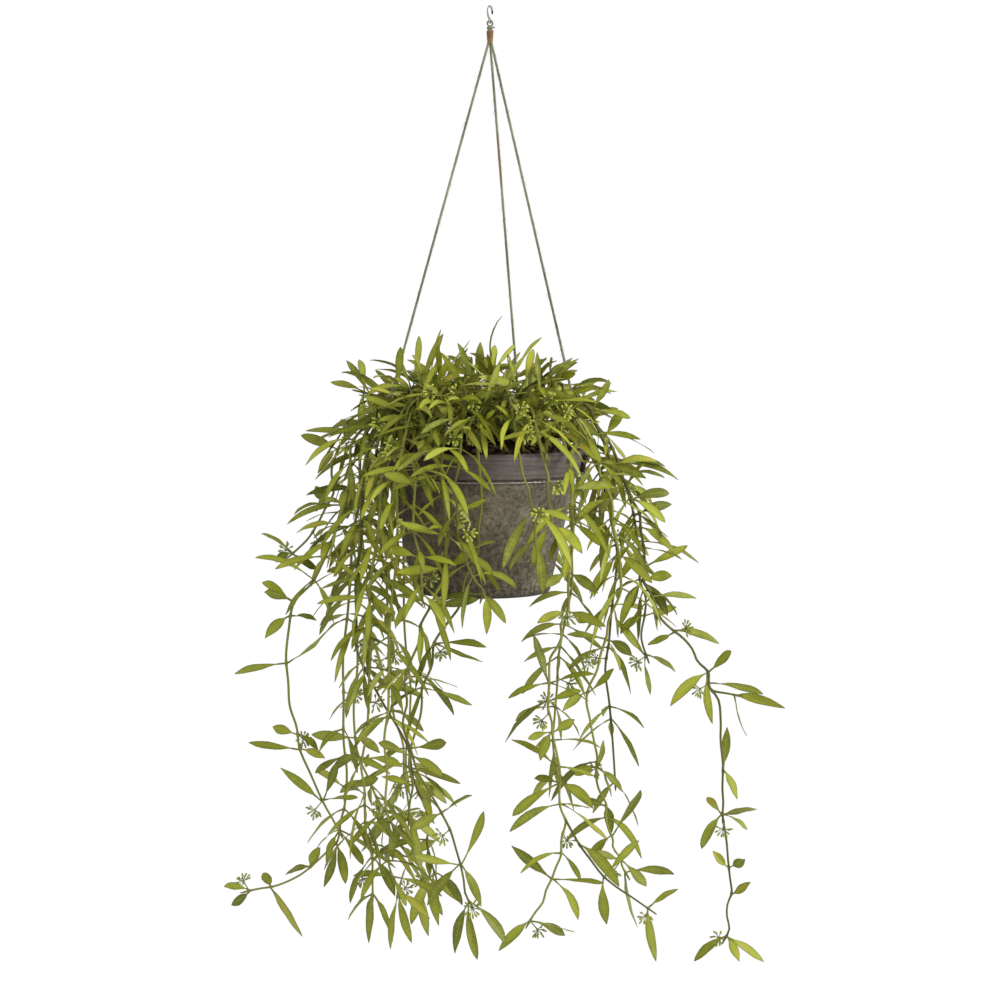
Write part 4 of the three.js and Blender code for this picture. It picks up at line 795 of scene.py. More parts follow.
def rope_points(name):
    """The marked points of a rope, from under the whipping to the rim and down its side."""
    turn, top = ROPE_TURNS[name], math.radians(ROPE_TOP_TURNS[name])
    return {
        "high": [ROPE_TOP_R * math.cos(top), ROPE_TOP_R * math.sin(top), ROPE_TOP_Z],
        "edge": round_pot(turn, RIM_TOP_R + ROPE_R + 0.5, RIM_TOP_Z + 1),
        "lash_high": round_pot(turn, RIM_TOP_R + LASH_R + 0.1, RIM_TOP_Z - 4),
        "lash_low": round_pot(turn, RIM_LOW_R + LASH_R + 0.6, RIM_LOW_Z + 2.5),
    }


def plan_plants():
    """All plants with their routes, whorls, leaves and umbels, where the part's source has them."""
    plants = []

    def plan(label, owner, route, spec, seed, bare, gap, each):
        plant = {key: spec.get(key, []) for key in ("tips", "buds", "twigs", "wild")}
        plant.update(label=label, owner=owner, route=route, seed=seed, bare=bare, gap=gap, each=each)
        plants.append(plant)
        return plant

    for stem in STEMS:
        plan(stem["name"], stem["name"], stem_route(stem), stem, stem["seed"], 30, WHORL_GAP, KEPT_EACH)
    for number, (turn, foot, lean, top, seed) in enumerate(SHOOTS, 1):
        name, route = f"shoot_{number:02d}", shoot_route(turn, foot, lean, top)
        plan(name, name, route, {"wild": [(-200, -400)]}, seed, 28, WHORL_GAP * 0.62, 1)
    for plant in list(plants):
        plant["whorls"] = plan_whorls(plant)
        for whorl in plant["whorls"]:
            for twig in whorl["twigs"]:
                name, route = plant["label"] + "_twig", Route([whorl["at"]["p"]] + twig["way"])
                small = plan(name, plant["owner"], route, twig, plant["seed"] + 100, 20, WHORL_GAP, 1)
                small["whorls"] = plan_whorls(small)
    room = Room()
    for name in ROPE_TURNS:
        mark = rope_points(name)
        for i in range(91):
            room.take(mix(mark["high"], mark["edge"], i / 90), ROPE_R + 0.4, name)
        for i in range(7):
            room.take(mix(mark["lash_high"], mark["lash_low"], i / 6), LASH_R + 0.6, name)
        room.take(add(mark["lash_low"], [0, 0, -4]), LASH_R + 0.6, name)
    for plant in plants:
        room.take_route(plant["route"], STEM_R + 0.4, plant["owner"])

    def draws(shift):
        """The whorls of all plants, each with its plant and with a draw of that plant's own."""
        for plant in plants:
            roll = dice(plant["seed"] + shift)
            for whorl in plant["whorls"]:
                yield plant, whorl, roll

    for plant, whorl, roll in draws(500):
        for reach in whorl["reaches"]:
            whorl["leaves"] += leaf_by_reach(room, plant, whorl["at"], reach, roll)
    for plant, whorl, roll in draws(900):
        if "bud" in whorl:
            whorl["umbels"] += place_umbel(room, plant, whorl["at"], roll)
    for plant, whorl, roll in draws(1300):
        for k in range(0 if whorl.get("slight") else whorl.get("rule", 0)):
            turn = whorl["turn"] + (k * 2 * math.pi) / whorl["rule"]
            whorl["leaves"] += leaf_by_rule(room, plant, whorl["at"], turn, roll)
    for plant in plants:
        fill_leaves(room, plant)
    return plants


def grain(p, cell, seed):
    """Smooth noise from -1 to 1 at points p, with bumps about a cell apart."""
    q = np.asarray(p, float) / cell + seed * 17.31
    base = np.floor(q).astype(np.int64)
    f = q - base
    f = f * f * (3 - 2 * f)
    total = np.zeros(len(q))
    for corner in range(8):
        bit = [(corner >> j) & 1 for j in range(3)]
        key = seed * 374761
        for j, prime in enumerate((73856093, 19349663, 83492791)):
            key = key ^ ((base[:, j] + bit[j]) * prime)
        key = (key * 1274126177) & 0x7FFFFFFF
        key = ((key ^ (key >> 13)) * 1103515245) & 0x7FFFFFFF
        share = np.ones(len(q))
        for j in range(3):
            share = share * (f[:, j] if bit[j] else 1 - f[:, j])
        total += share * (key / 0x3FFFFFFF - 1)
    return total


# What each point of a piece knows: its share of the length and of the width that it lies at, a
# drawn tone, and whether it is on an underside
MARKS = ("along", "across", "tone", "under")


def unit_all(rows):
    """Directions of any length, one or rows of them, with length 1."""
    return rows / np.linalg.norm(rows, axis=-1, keepdims=True)


def shown(name, mesh):
    """A new object in the scene with a mesh."""
    thing = bpy.data.objects.new(name, mesh)
    bpy.context.scene.collection.objects.link(thing)
    return thing


class Heap:
    """Gathers the points, faces and marks of one piece in millimetres before it is a mesh."""

    def __init__(self):
        self.points, self.faces, self.finish = [], [], []
        self.marks = {name: [] for name in MARKS}
        self.count = 0

    def put(self, points, faces, finish=0, **marks):
        points = np.asarray(points, float)
        self.points.append(points)
        self.faces += [[v + self.count for v in face] for face in faces]
        self.finish += [finish] * len(faces)
        for name in MARKS:
            self.marks[name].append(np.broadcast_to(np.asarray(marks.get(name, 0), float), len(points)))
        self.count += len(points)

    def sweep(self, path, radius, sides, finish=0, closed=False, **marks):
        """A round tube along a path, closed at both ends or joined to itself."""
        path = np.asarray(path, float)
        n = len(path)
        joined = np.roll(path, -1, axis=0) - np.roll(path, 1, axis=0)
        ways = unit_all(joined if closed else np.gradient(path, axis=0))
        start = np.cross(ways[0], [0, 1, 0] if abs(ways[0][2]) > 0.9 else [0, 0, 1])
        out = np.zeros((n, 3))
        for i in range(n):
            start = unit_all(start - ways[i] * np.dot(start, ways[i]))
            out[i] = start
        angle = (np.arange(sides) * 2 * np.pi / sides)[None, :, None]
        ring = np.cos(angle) * out[:, None] + np.sin(angle) * np.cross(ways, out)[:, None]
        wide = np.broadcast_to(np.asarray(radius, float), n)
        points = (path[:, None] + ring * wide[:, None, None]).reshape(-1, 3)
        faces = []
        for i in range(n if closed else n - 1):
            a, b = i * sides, (i + 1) % n * sides
            for k in range(sides):
                j = (k + 1) % sides
                faces.append([a + k, a + j, b + j, b + k])
        if not closed:
            faces.append(list(range(sides))[::-1])
            faces.append([(n - 1) * sides + k for k in range(sides)])
        spread = {}
        for name, value in marks.items():
            value = np.asarray(value, float)
            spread[name] = np.repeat(value, sides) if value.ndim else value
        if "along" not in spread:
            spread["along"] = np.repeat(np.linspace(0, 1, n), sides)
        self.put(points, faces, finish, **spread)

    def piece(self, name, finishes, crease=50):
        """The gathered mesh as an object, smooth but for edges sharper than crease degrees."""
        mesh = bpy.data.meshes.new(name)
        mesh.from_pydata((np.concatenate(self.points) * MM).tolist(), [], self.faces)
        for mark in MARKS:
            layer = mesh.attributes.new(mark, "FLOAT", "POINT")
            layer.data.foreach_set("value", np.concatenate(self.marks[mark]).astype(np.float32))
        mesh.update()
        thing = shown(name, mesh)
        for finish in finishes:
            mesh.materials.append(finish)
        mesh.polygons.foreach_set("material_index", np.array(self.finish, np.int32))
        smooth(thing, crease)
        return thing


def only(thing):
    """Makes one object the only one selected, and the active one."""
    if bpy.context.object and bpy.context.object.mode != "OBJECT":
        bpy.ops.object.mode_set(mode="OBJECT")
    bpy.ops.object.select_all(action="DESELECT")
    thing.select_set(True)
    bpy.context.view_layer.objects.active = thing


def smooth(thing, crease):
    only(thing)
    bpy.ops.object.shade_smooth_by_angle(angle=math.radians(crease))


def seat(thing, slot, *nodes):
    """Lets a piece ride on the object in place of the solids that it stands for."""
    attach(thing, "root")
    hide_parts(*nodes)


def edit_all():
    """Opens the active object for editing, all of it selected."""
    bpy.ops.object.mode_set(mode="EDIT")
    bpy.ops.mesh.select_all(action="SELECT")


def fine(outline, gap):
    """An outline of radius and height with points at most a gap apart."""
    found = [outline[0]]
    for (r0, z0), (r1, z1) in zip(outline, outline[1:]):
        parts = max(1, math.ceil(math.hypot(r1 - r0, z1 - z0) / gap))
        found += [(r0 + (r1 - r0) * k / parts, z0 + (z1 - z0) * k / parts) for k in range(1, parts + 1)]
    return found


def turned(name, outline, sides, x):
    """A body spun about an upright axis from an outline of radius and height, as on a wheel."""
    mesh = bpy.data.meshes.new(name)
    edges = [(i, i + 1) for i in range(len(outline) - 1)]
    mesh.from_pydata([((x + r) * MM, 0, z * MM) for r, z in outline], edges, [])
    thing = shown(name, mesh)
    only(thing)
    edit_all()
    bpy.ops.mesh.spin(steps=sides, angle=2 * math.pi, center=(x * MM, 0, 0), axis=(0, 0, 1))
    bpy.ops.mesh.select_all(action="SELECT")
    bpy.ops.mesh.remove_doubles(threshold=2e-5)
    bpy.ops.mesh.normals_make_consistent(inside=False)
    bpy.ops.object.mode_set(mode="OBJECT")
    return thing


def places(thing):
    """A mesh's points and their outward directions, in millimetres."""
    points, out = np.zeros((2, len(thing.data.vertices) * 3))
    thing.data.vertices.foreach_get("co", points)
    thing.data.vertices.foreach_get("normal", out)
    return points.reshape(-1, 3) / MM, out.reshape(-1, 3)


def move_points(thing, points):
    thing.data.vertices.foreach_set("co", (points * MM).ravel())
    thing.data.update()


def feed(node, inputs):
    """Sets or links a node's inputs by name or number. A text is a hex colour."""
    for key, value in inputs.items():
        if isinstance(value, bpy.types.NodeSocket):
            node.id_data.links.new(value, node.inputs[key])
        else:
            node.inputs[key].default_value = linear(value) if isinstance(value, str) else value


def put(tree, kind, inputs=None, stops=None, out=0, **settings):
    """Adds a node with its settings, inputs and ramp stops. Gives the output with the name or number
    out, or all of them where out is None."""
    node = tree.nodes.new("ShaderNode" + kind)
    for key, value in settings.items():
        setattr(node, key, value)
    feed(node, inputs or {})
    if stops:
        ramp = node.color_ramp.elements
        while len(ramp) < len(stops):
            ramp.new(0.5)
        for element, (place, colour) in zip(ramp, stops):
            element.position = place
            element.color = linear(colour) if isinstance(colour, str) else colour
    return node.outputs if out is None else node.outputs[out]


# What put needs for a Mix node that mixes colours
RGBA = {"out": 2, "data_type": "RGBA"}


def new_finish(name, roughness, gloss=0.5, **more):
    """A material with its nodes, its shader and the place on the object that its patterns go by."""
    finish = bpy.data.materials.new(name)
    finish.use_nodes = True
    tree = finish.node_tree
    shader = tree.nodes["Principled BSDF"]
    feed(shader, {"Roughness": roughness, "Specular IOR Level": gloss, **more})
    return finish, tree, shader, put(tree, "TexCoord", out="Object")


def window(low, high):
    """Ramp stops that rise from black to white between two places."""
    return [(low, "#000000"), (high, "#ffffff")]


def weathered_clay(look):
    """Wheel-thrown terracotta, smoke-fired and left outside: dull, with a dark skin that has worn to warmer
    clay, dry moss in patches, lime specks, dirt in the pits and along the foot, and painted shade on its left
    side and painted light on its right."""
    finish, tree, shader, where = new_finish("weathered_terracotta", 0.93, 0.25)
    centred = put(tree, "Mapping", {"Vector": where, "Location": (-POT_X * MM, 0, 0)})
    side, _, height = put(tree, "SeparateXYZ", {0: centred}, out=None)
    # Patches where the skin has worn are 30 to 40 mm across, and the mottling in them 6 to 8 mm.
    patch = put(tree, "TexNoise", {"Vector": centred, "Scale": 28.0, "Detail": 5.0, "Roughness": 0.62})
    patch = put(tree, "ValToRGB", {0: patch}, window(0.42, 0.66))
    mottle = put(tree, "TexNoise", {"Vector": centred, "Scale": 230.0, "Detail": 7.0, "Roughness": 0.78})
    tint = put(tree, "ValToRGB", {0: mottle}, [(0.38, "#6c6860"), (0.62, "#ffffff")])
    # Moss grows in patches of about 15 mm on the body, not on the rim.
    moss = put(tree, "TexNoise", {"Vector": centred, "Scale": 62.0, "Detail": 7.0, "Roughness": 0.75})
    moss = put(tree, "ValToRGB", {0: moss}, window(0.52, 0.7))
    moss = put(tree, "Math", {0: moss, 1: 0.6}, operation="MULTIPLY")
    # The rim has taken more smoke. It is streaked along the wheel's turning, a streak each 2 mm or so.
    streak_at = put(tree, "Mapping", {"Vector": centred, "Scale": (1, 1, 26)})
    streak = put(tree, "TexNoise", {"Vector": streak_at, "Scale": 18.0, "Detail": 4.0})
    streak = put(tree, "ValToRGB", {0: streak}, [(0.35, "#a9a5a3"), (0.65, "#ffffff")])
    smoke = {0: 0.7, 6: look.rim_colour, 7: streak}
    rim = put(tree, "Mix", smoke, **RGBA, blend_type="MULTIPLY")
    on_rim = put(tree, "MapRange", {0: height, 1: (RIM_LOW_Z - 8) * MM, 2: (RIM_LOW_Z + 4) * MM})
    # Lime and sand grains are 0.5 to 1 mm, and are drawn at about 1 mm so that they show.
    specks = put(tree, "TexVoronoi", {"Vector": centred, "Scale": 430.0, "Randomness": 1.0}, out=None)
    dots = put(tree, "ValToRGB", {0: specks["Distance"]}, [(0.12, "#ffffff"), (0.26, "#000000")])
    some = put(tree, "SeparateColor", {0: specks["Color"]})
    some = put(tree, "Math", {0: some, 1: 0.62}, operation="GREATER_THAN")
    grains = put(tree, "Math", {0: dots, 1: some}, operation="MULTIPLY")
    grains = put(tree, "Math", {0: grains, 1: 0.55}, operation="MULTIPLY")
    # Pits are 2 to 3 mm apart. They hold dirt, and are thickest towards the foot.
    pits = put(tree, "TexNoise", {"Vector": centred, "Scale": 380.0, "Detail": 4.0, "Roughness": 0.7})
    low_down = put(tree, "MapRange", {0: height, 1: WEAR_TOP_Z * MM, 2: POT_FOOT_Z * MM, 4: 0.13})
    pitted = put(tree, "Math", {0: pits, 1: low_down}, operation="ADD")
    pitted = put(tree, "ValToRGB", {0: pitted}, window(0.6, 0.74))
    foot = put(tree, "MapRange", {0: height, 1: (POT_FOOT_Z + 5) * MM, 2: (POT_FOOT_Z + 1) * MM, 4: 0.85})
    # Painted light and shade: the clay is made lighter on its right side, towards the main light, and darker
    # on its left side.
    side = put(tree, "MapRange", {0: side, 1: -0.075, 2: 0.07})
    painted_side_shade = put(tree, "ValToRGB", {0: side}, [(0.0, "#b9b6ac"), (0.55, "#d8d5d0"), (1.0, "#ffffff")])
    colour = look.body_colour
    for much, over, blend in (
        (patch, look.warm_colour, "MIX"),
        (0.85, tint, "MULTIPLY"),
        (moss, look.moss_colour, "MIX"),
        (on_rim, rim, "MIX"),
        (grains, look.speck_colour, "MIX"),
        (pitted, look.pit_colour, "MIX"),
        (foot, look.pit_colour, "MIX"),
        # Painted light and shade: the right side lighter, the left side darker
        (1.0, painted_side_shade, "MULTIPLY"),
    ):
        colour = put(tree, "Mix", {0: much, 6: colour, 7: over}, **RGBA, blend_type=blend)
    grit = put(tree, "TexNoise", {"Vector": centred, "Scale": 700.0, "Detail": 3.0})
    relief = put(tree, "Math", {0: grit, 1: pitted}, operation="SUBTRACT")
    relief = put(tree, "Math", {0: relief, 1: mottle}, operation="ADD")
    bump = put(tree, "Bump", {"Strength": 0.7, "Distance": 0.0006, "Height": relief})
    feed(shader, {"Base Color": colour, "Normal": bump})
    return finish


def damp_peat(look):
    """Peat with composted bark: nearly black and matt where it is damp, with rusty crumbs."""
    finish, tree, shader, where = new_finish("damp_peat", 0.97, 0.2)
    # Crumbs are 2 to 4 mm.
    crumbs = put(tree, "TexVoronoi", {"Vector": where, "Scale": 330.0}, out=None)
    tone = put(tree, "SeparateColor", {0: crumbs["Color"]})
    stops = [(0.0, "#17110e"), (0.6, look.peat_colour), (1.0, "#4a3426")]
    bump = put(tree, "Bump", {"Strength": 0.8, "Distance": 0.001, "Height": crumbs["Distance"]})
    feed(shader, {"Base Color": put(tree, "ValToRGB", {0: tone}, stops), "Normal": bump})
    return finish


def dry_bark(look):
    """Composted pine bark and dry twigs: fibrous, grey-brown to rust, matt."""
    finish, tree, shader, where = new_finish("pine_bark", 0.9, 0.25)
    tone = put(tree, "Attribute", out="Fac", attribute_name="tone")
    # Fibres are about 0.8 mm wide.
    fibre_at = put(tree, "Mapping", {"Vector": where, "Scale": (1, 0.25, 1)})
    fibre = put(tree, "TexNoise", {"Vector": fibre_at, "Scale": 900.0, "Detail": 4.0})
    stops = [(0.0, "#2b211b"), (0.45, look.bark_colour), (0.8, "#7a5a44"), (1.0, "#8c8272")]
    colour = put(tree, "ValToRGB", {0: tone}, stops)
    dark = put(tree, "ValToRGB", {0: fibre}, [(0.3, "#9a9a9a"), (0.7, "#ffffff")])
    colour = put(tree, "Mix", {0: 1.0, 6: colour, 7: dark}, **RGBA, blend_type="MULTIPLY")
    bump = put(tree, "Bump", {"Strength": 0.6, "Distance": 0.0004, "Height": fibre})
    feed(shader, {"Base Color": colour, "Normal": bump})
    return finish


def twisted_fibre(name, look, colours, shift=0.0):
    """Plant fibre spun to yarn: matt and hairy, each strand with fine fibres along it and a tone
    that drifts every few centimetres. The first colour is the dirt between the fibres."""
    finish, tree, shader, where = new_finish(name, 0.95, 0.2, **{"Sheen Weight": 0.25})
    drift = put(tree, "TexNoise", {"Vector": where, "Scale": 45.0 + shift, "Detail": 3.0})
    # Fibres are 0.1 mm, and are drawn at about 0.4 mm so that they show.
    fibre = put(tree, "TexNoise", {"Vector": where, "Scale": 2200.0, "Detail": 2.0})
    tone = put(tree, "Math", {0: drift, 1: fibre}, operation="ADD")
    tone = put(tree, "Math", {0: tone, 1: 0.5}, operation="MULTIPLY")
    stops = [(0.36 + 0.3 * k / (len(colours) - 1), colour) for k, colour in enumerate(colours)]
    colour = put(tree, "ValToRGB", {0: tone}, stops)
    brown = put(tree, "Attribute", out="Fac", attribute_name="tone")
    colour = put(tree, "Mix", {0: brown, 6: colour, 7: look.brown_colour}, **RGBA)
    bump = put(tree, "Bump", {"Strength": 0.5, "Distance": 0.0002, "Height": fibre})
    feed(shader, {"Base Color": colour, "Normal": bump})
    return finish


def drawn_wire(look):
    """Galvanised steel wire: bright along the drawing lines, dulled by handling, black at the cut."""
    finish, tree, shader, where = new_finish("galvanised_wire", 0.38, Metallic=1.0)
    along = put(tree, "Attribute", out="Fac", attribute_name="along")
    # Spangle of the zinc is about 1.5 mm across.
    spangle = put(tree, "TexNoise", {"Vector": where, "Scale": 650.0, "Detail": 3.0})
    stops = [(0.3, "#7d7974"), (0.6, look.wire_colour), (0.8, "#d4d1ca")]
    colour = put(tree, "ValToRGB", {0: spangle}, stops)
    cut = put(tree, "MapRange", {0: along, 1: 0.9, 2: 0.93})
    colour = put(tree, "Mix", {0: cut, 6: colour, 7: "#1d1a18"}, **RGBA)
    rough = put(tree, "MapRange", {0: spangle, 3: 0.28, 4: 0.55})
    feed(shader, {"Base Color": colour, "Roughness": rough})
    return finish


def waxy_leaf(look):
    """Hoya leaf: a thick, waxy blade with a soft shine, a paler groove along its midrib, faint side
    veins, painted shade along its margin and at its tip, and a paler and duller underside."""
    finish, tree, shader, where = new_finish("waxy_leaf", 0.5, 0.25)
    along, across, tone, under = (put(tree, "Attribute", out="Fac", attribute_name=name) for name in MARKS)
    wide = put(tree, "Math", {0: across}, operation="ABSOLUTE")
    # Clouding of the green is 5 to 8 mm across.
    cloud = put(tree, "TexNoise", {"Vector": where, "Scale": 150.0, "Detail": 3.0})
    shade = put(tree, "MapRange", {0: cloud, 1: 0.3, 2: 0.7, 3: -0.2, 4: 0.1})
    shade = put(tree, "Math", {0: tone, 1: shade}, operation="ADD")
    ages = (look.deep_colour, look.leaf_colour, look.young_colour, look.yellow_colour)
    colour = put(tree, "ValToRGB", {0: shade}, list(zip((0.0, 0.42, 0.9, 1.0), ages)))
    # The leaves low on the trails are a deeper green.
    height = put(tree, "SeparateXYZ", {0: where}, out=2)
    low = put(tree, "MapRange", {0: height, 1: -0.44, 2: -0.54, 4: 0.3})
    # Side veins leave the midrib every 2 to 3 mm and lean forwards.
    lean = put(tree, "Math", {0: wide, 1: -2.2}, operation="MULTIPLY")
    wave = put(tree, "Math", {0: along, 1: 84.0, 2: lean}, operation="MULTIPLY_ADD")
    wave = put(tree, "Math", {0: wave}, operation="SINE")
    vein = put(tree, "MapRange", {0: wave, 1: 0.55, 2: 1.0})
    faint = put(tree, "Math", {0: vein, 1: 0.1}, operation="MULTIPLY")
    rib = put(tree, "MapRange", {0: wide, 1: 0.03, 2: 0.16, 3: 0.2, 4: 0.0})
    side = put(tree, "Math", {0: under, 1: 0.65}, operation="MULTIPLY")
    # Painted shade: the outer third of each half of the blade and the end of its tip are darker, as where a
    # leaf is lit from behind.
    edge = put(tree, "MapRange", {0: wide, 1: 0.66, 2: 1.0, 4: 0.7})
    tip = put(tree, "MapRange", {0: along, 1: 0.9, 2: 1.0, 4: 0.7})
    stalk = put(tree, "MapRange", {0: along, 1: 0.2, 2: 0.1, 4: 0.8})
    for much, over in (
        (low, look.deep_colour),
        (faint, "#b7bd50"),
        (rib, "#b7bd50"),
        (side, look.under_colour),
        # Painted shade at the margin and the tip
        (edge, "#4d5217"),
        (tip, "#4d4a26"),
        (stalk, look.stem_colour),
    ):
        colour = put(tree, "Mix", {0: much, 6: colour, 7: over}, **RGBA)
    rough = put(tree, "MapRange", {0: under, 3: 0.46, 4: 0.72})
    relief = put(tree, "Math", {0: rib, 1: vein}, operation="SUBTRACT")
    relief = put(tree, "Math", {0: relief, 1: cloud}, operation="ADD")
    bump = put(tree, "Bump", {"Strength": 0.35, "Distance": 0.0003, "Height": relief})
    feed(shader, {"Base Color": colour, "Roughness": rough, "Normal": bump})
    return finish


def green_stem(look):
    """Young woody vine: dull olive, darker and browner in patches, with small corky dots."""
    finish, tree, shader, where = new_finish("olive_vine_stem", 0.68, 0.3)
    tone = put(tree, "Attribute", out="Fac", attribute_name="tone")
    # Patches are 12 to 20 mm long, and the corky dots 1 mm.
    patch = put(tree, "TexNoise", {"Vector": where, "Scale": 60.0, "Detail": 4.0})
    dots = put(tree, "TexNoise", {"Vector": where, "Scale": 800.0, "Detail": 2.0})
    shade = put(tree, "Math", {0: patch, 1: tone}, operation="ADD")
    shade = put(tree, "Math", {0: shade, 1: 0.5}, operation="MULTIPLY")
    stops = [(0.2, "#47451f"), (0.45, look.stem_colour), (0.75, "#84853a")]
    colour = put(tree, "ValToRGB", {0: shade}, stops)
    cork = put(tree, "ValToRGB", {0: dots}, window(0.62, 0.7))
    cork = put(tree, "Math", {0: cork, 1: 0.4}, operation="MULTIPLY")
    colour = put(tree, "Mix", {0: cork, 6: colour, 7: "#7d7650"}, **RGBA)
    bump = put(tree, "Bump", {"Strength": 0.4, "Distance": 0.0002, "Height": dots})
    feed(shader, {"Base Color": colour, "Normal": bump})
    return finish


def waxy_bud(look):
    """Closed hoya bud: waxy yellow-green, paler on its shoulder and greener down its thin stalk."""
    finish, tree, shader, where = new_finish("waxy_bud", 0.42, 0.45)
    along, tone = (put(tree, "Attribute", out="Fac", attribute_name=name) for name in ("along", "tone"))
    stops = [(0.0, look.stem_colour), (0.4, "#7c8a2e"), (0.7, look.bud_colour), (0.9, "#c6cc5a")]
    colour = put(tree, "ValToRGB", {0: along}, stops + [(1.0, "#8f8c3c")])
    # Umbels low on the trails are duller and greener than those in the dome.
    height = put(tree, "SeparateXYZ", {0: where}, out=2)
    low = put(tree, "MapRange", {0: height, 1: -0.4, 2: -0.5, 4: 0.45})
    dark = put(tree, "Math", {0: tone, 1: 0.3, 2: low}, operation="MULTIPLY_ADD")
    colour = put(tree, "Mix", {0: dark, 6: colour, 7: "#545c1e"}, **RGBA)
    feed(shader, {"Base Color": colour})
    return finish


# The places of the blades' and the buds' finish among those of a plant, after its stem's
LEAF_FINISH = 1
BUD_FINISH = 2


def taken(thing):
    """A primitive's points and faces, after which it is removed."""
    mesh = thing.data
    points = np.array([v.co for v in mesh.vertices])
    faces = [list(face.vertices) for face in mesh.polygons]
    bpy.data.objects.remove(thing)
    bpy.data.meshes.remove(mesh)
    return points, faces


def leaf_pattern():
    """One flat leaf, modelled once: its length runs from 0 to 1 in x, its halves from -1 to 1 in y,
    and its two faces lie at -1 and 1 in z. Every leaf is a bent copy of it."""
    bpy.ops.object.select_all(action="DESELECT")
    bpy.ops.mesh.primitive_grid_add(x_subdivisions=9, y_subdivisions=2, size=2)
    thing = bpy.context.object
    edit_all()
    bpy.ops.mesh.normals_make_consistent(inside=False)
    bpy.ops.transform.resize(value=(0.5, 1, 1), center_override=(-1, 0, 0))
    bpy.ops.transform.translate(value=(1, 0, 1))
    bpy.ops.object.mode_set(mode="OBJECT")
    shell = thing.modifiers.new("faces", "SOLIDIFY")
    shell.thickness = 2
    shell.offset = -1
    bpy.ops.object.modifier_apply(modifier=shell.name)
    return taken(thing)


def grow_leaf(heap, pattern, leaf, broad, look, roll):
    """A bent copy of the pattern: thin stalk, lance-shaped blade folded along its midrib."""
    points, faces = pattern
    share, across, face = points[:, 0], points[:, 1], points[:, 2]
    # More sections go to the base and the tip, where the outline turns. The draw gives each leaf its
    # outline, with a peak between a stalk and a blunt or sharp tip, its twist, fold, curl and ripple.
    t = share - 0.075 * np.sin(2 * np.pi * share) * 0.6
    stalk = 0.11 + 0.06 * roll()
    peak = 0.4 + 0.24 * roll()
    blunt = 0.62 + 0.5 * roll()
    sharp = blunt * peak / (1 - peak)
    twist = (roll() - 0.5) * 1.5
    fold = math.radians(-4 + 34 * roll())
    hook = (roll() - 0.35) * 0.1
    ripple = roll() * 6.28
    tone = roll()
    blade = np.clip((t - stalk) / (1 - stalk), 0, 1)
    shape = np.power(blade, sharp) * np.power(1 - blade, blunt)
    shape = shape / (math.pow(peak, sharp) * math.pow(1 - peak, blunt))
    wide = np.maximum(leaf["width"] * 0.5 * broad * shape, np.where(t < 0.5, 0.55, 0.22))
    thick = look.blade / MM * 0.5
    thick = np.where(blade <= 0, 0.55, thick * (1 - 0.45 * np.abs(across))) * np.where(t > 0.97, 0.5, 1)
    root, knee, tip = (np.array(leaf[k]) for k in ("root", "knee", "tip"))
    a, b, c = ((1 - t) ** 2)[:, None], (2 * t * (1 - t))[:, None], (t * t)[:, None]
    line = a * root + b * knee + c * tip
    way = unit_all(2 * (1 - t)[:, None] * (knee - root) + 2 * t[:, None] * (tip - knee))
    side = unit_all(np.array(leaf["across"]) - way * (way @ np.array(leaf["across"]))[:, None])
    up = np.cross(side, way)
    if float(np.mean(up @ np.array(leaf["up"]))) < 0:
        side, up = -side, -up
    turn = twist * (t - 0.3)
    turned_side = np.cos(turn)[:, None] * side + np.sin(turn)[:, None] * up
    turned_up = np.cos(turn)[:, None] * up - np.sin(turn)[:, None] * side
    lift = np.abs(across) * wide * math.sin(fold)
    lift += 0.28 * np.sin(t * 15 + ripple) * np.abs(across) * np.where(blade > 0, 1, 0)
    lift -= hook * leaf["long"] * np.sin(np.pi * np.clip(blade, 0, 1)) * 0.5
    spots = line + turned_side * (across * wide * math.cos(fold))[:, None]
    spots += turned_up * (lift + face * thick)[:, None]
    heap.put(spots, faces, LEAF_FINISH, along=t, across=across, tone=tone, under=np.where(face < 0, 1.0, 0.0))


# The bare young tip that stands up from the highest shoot, as steps from the shoot's end
YOUNG_TIP = [(0, 0, 0), (-1, -1, 5), (-1, -1, 10), (0, -1, 16), (2, -1, 22), (5, -1, 28), (9, -1, 33)]

# A bud's outline, as shares of its length with the radius there, and how many sides it has
BUD_OUTLINE = [(0.0, 0.2), (0.4, 0.22), (0.58, 0.5), (0.72, 0.86), (0.88, 0.88), (0.97, 0.5)]
BUD_SIDES = 5
BUD_EDGES = [(j, (j + 1) % BUD_SIDES) for j in range(BUD_SIDES)]
GOLDEN_ANGLE = 2.39996


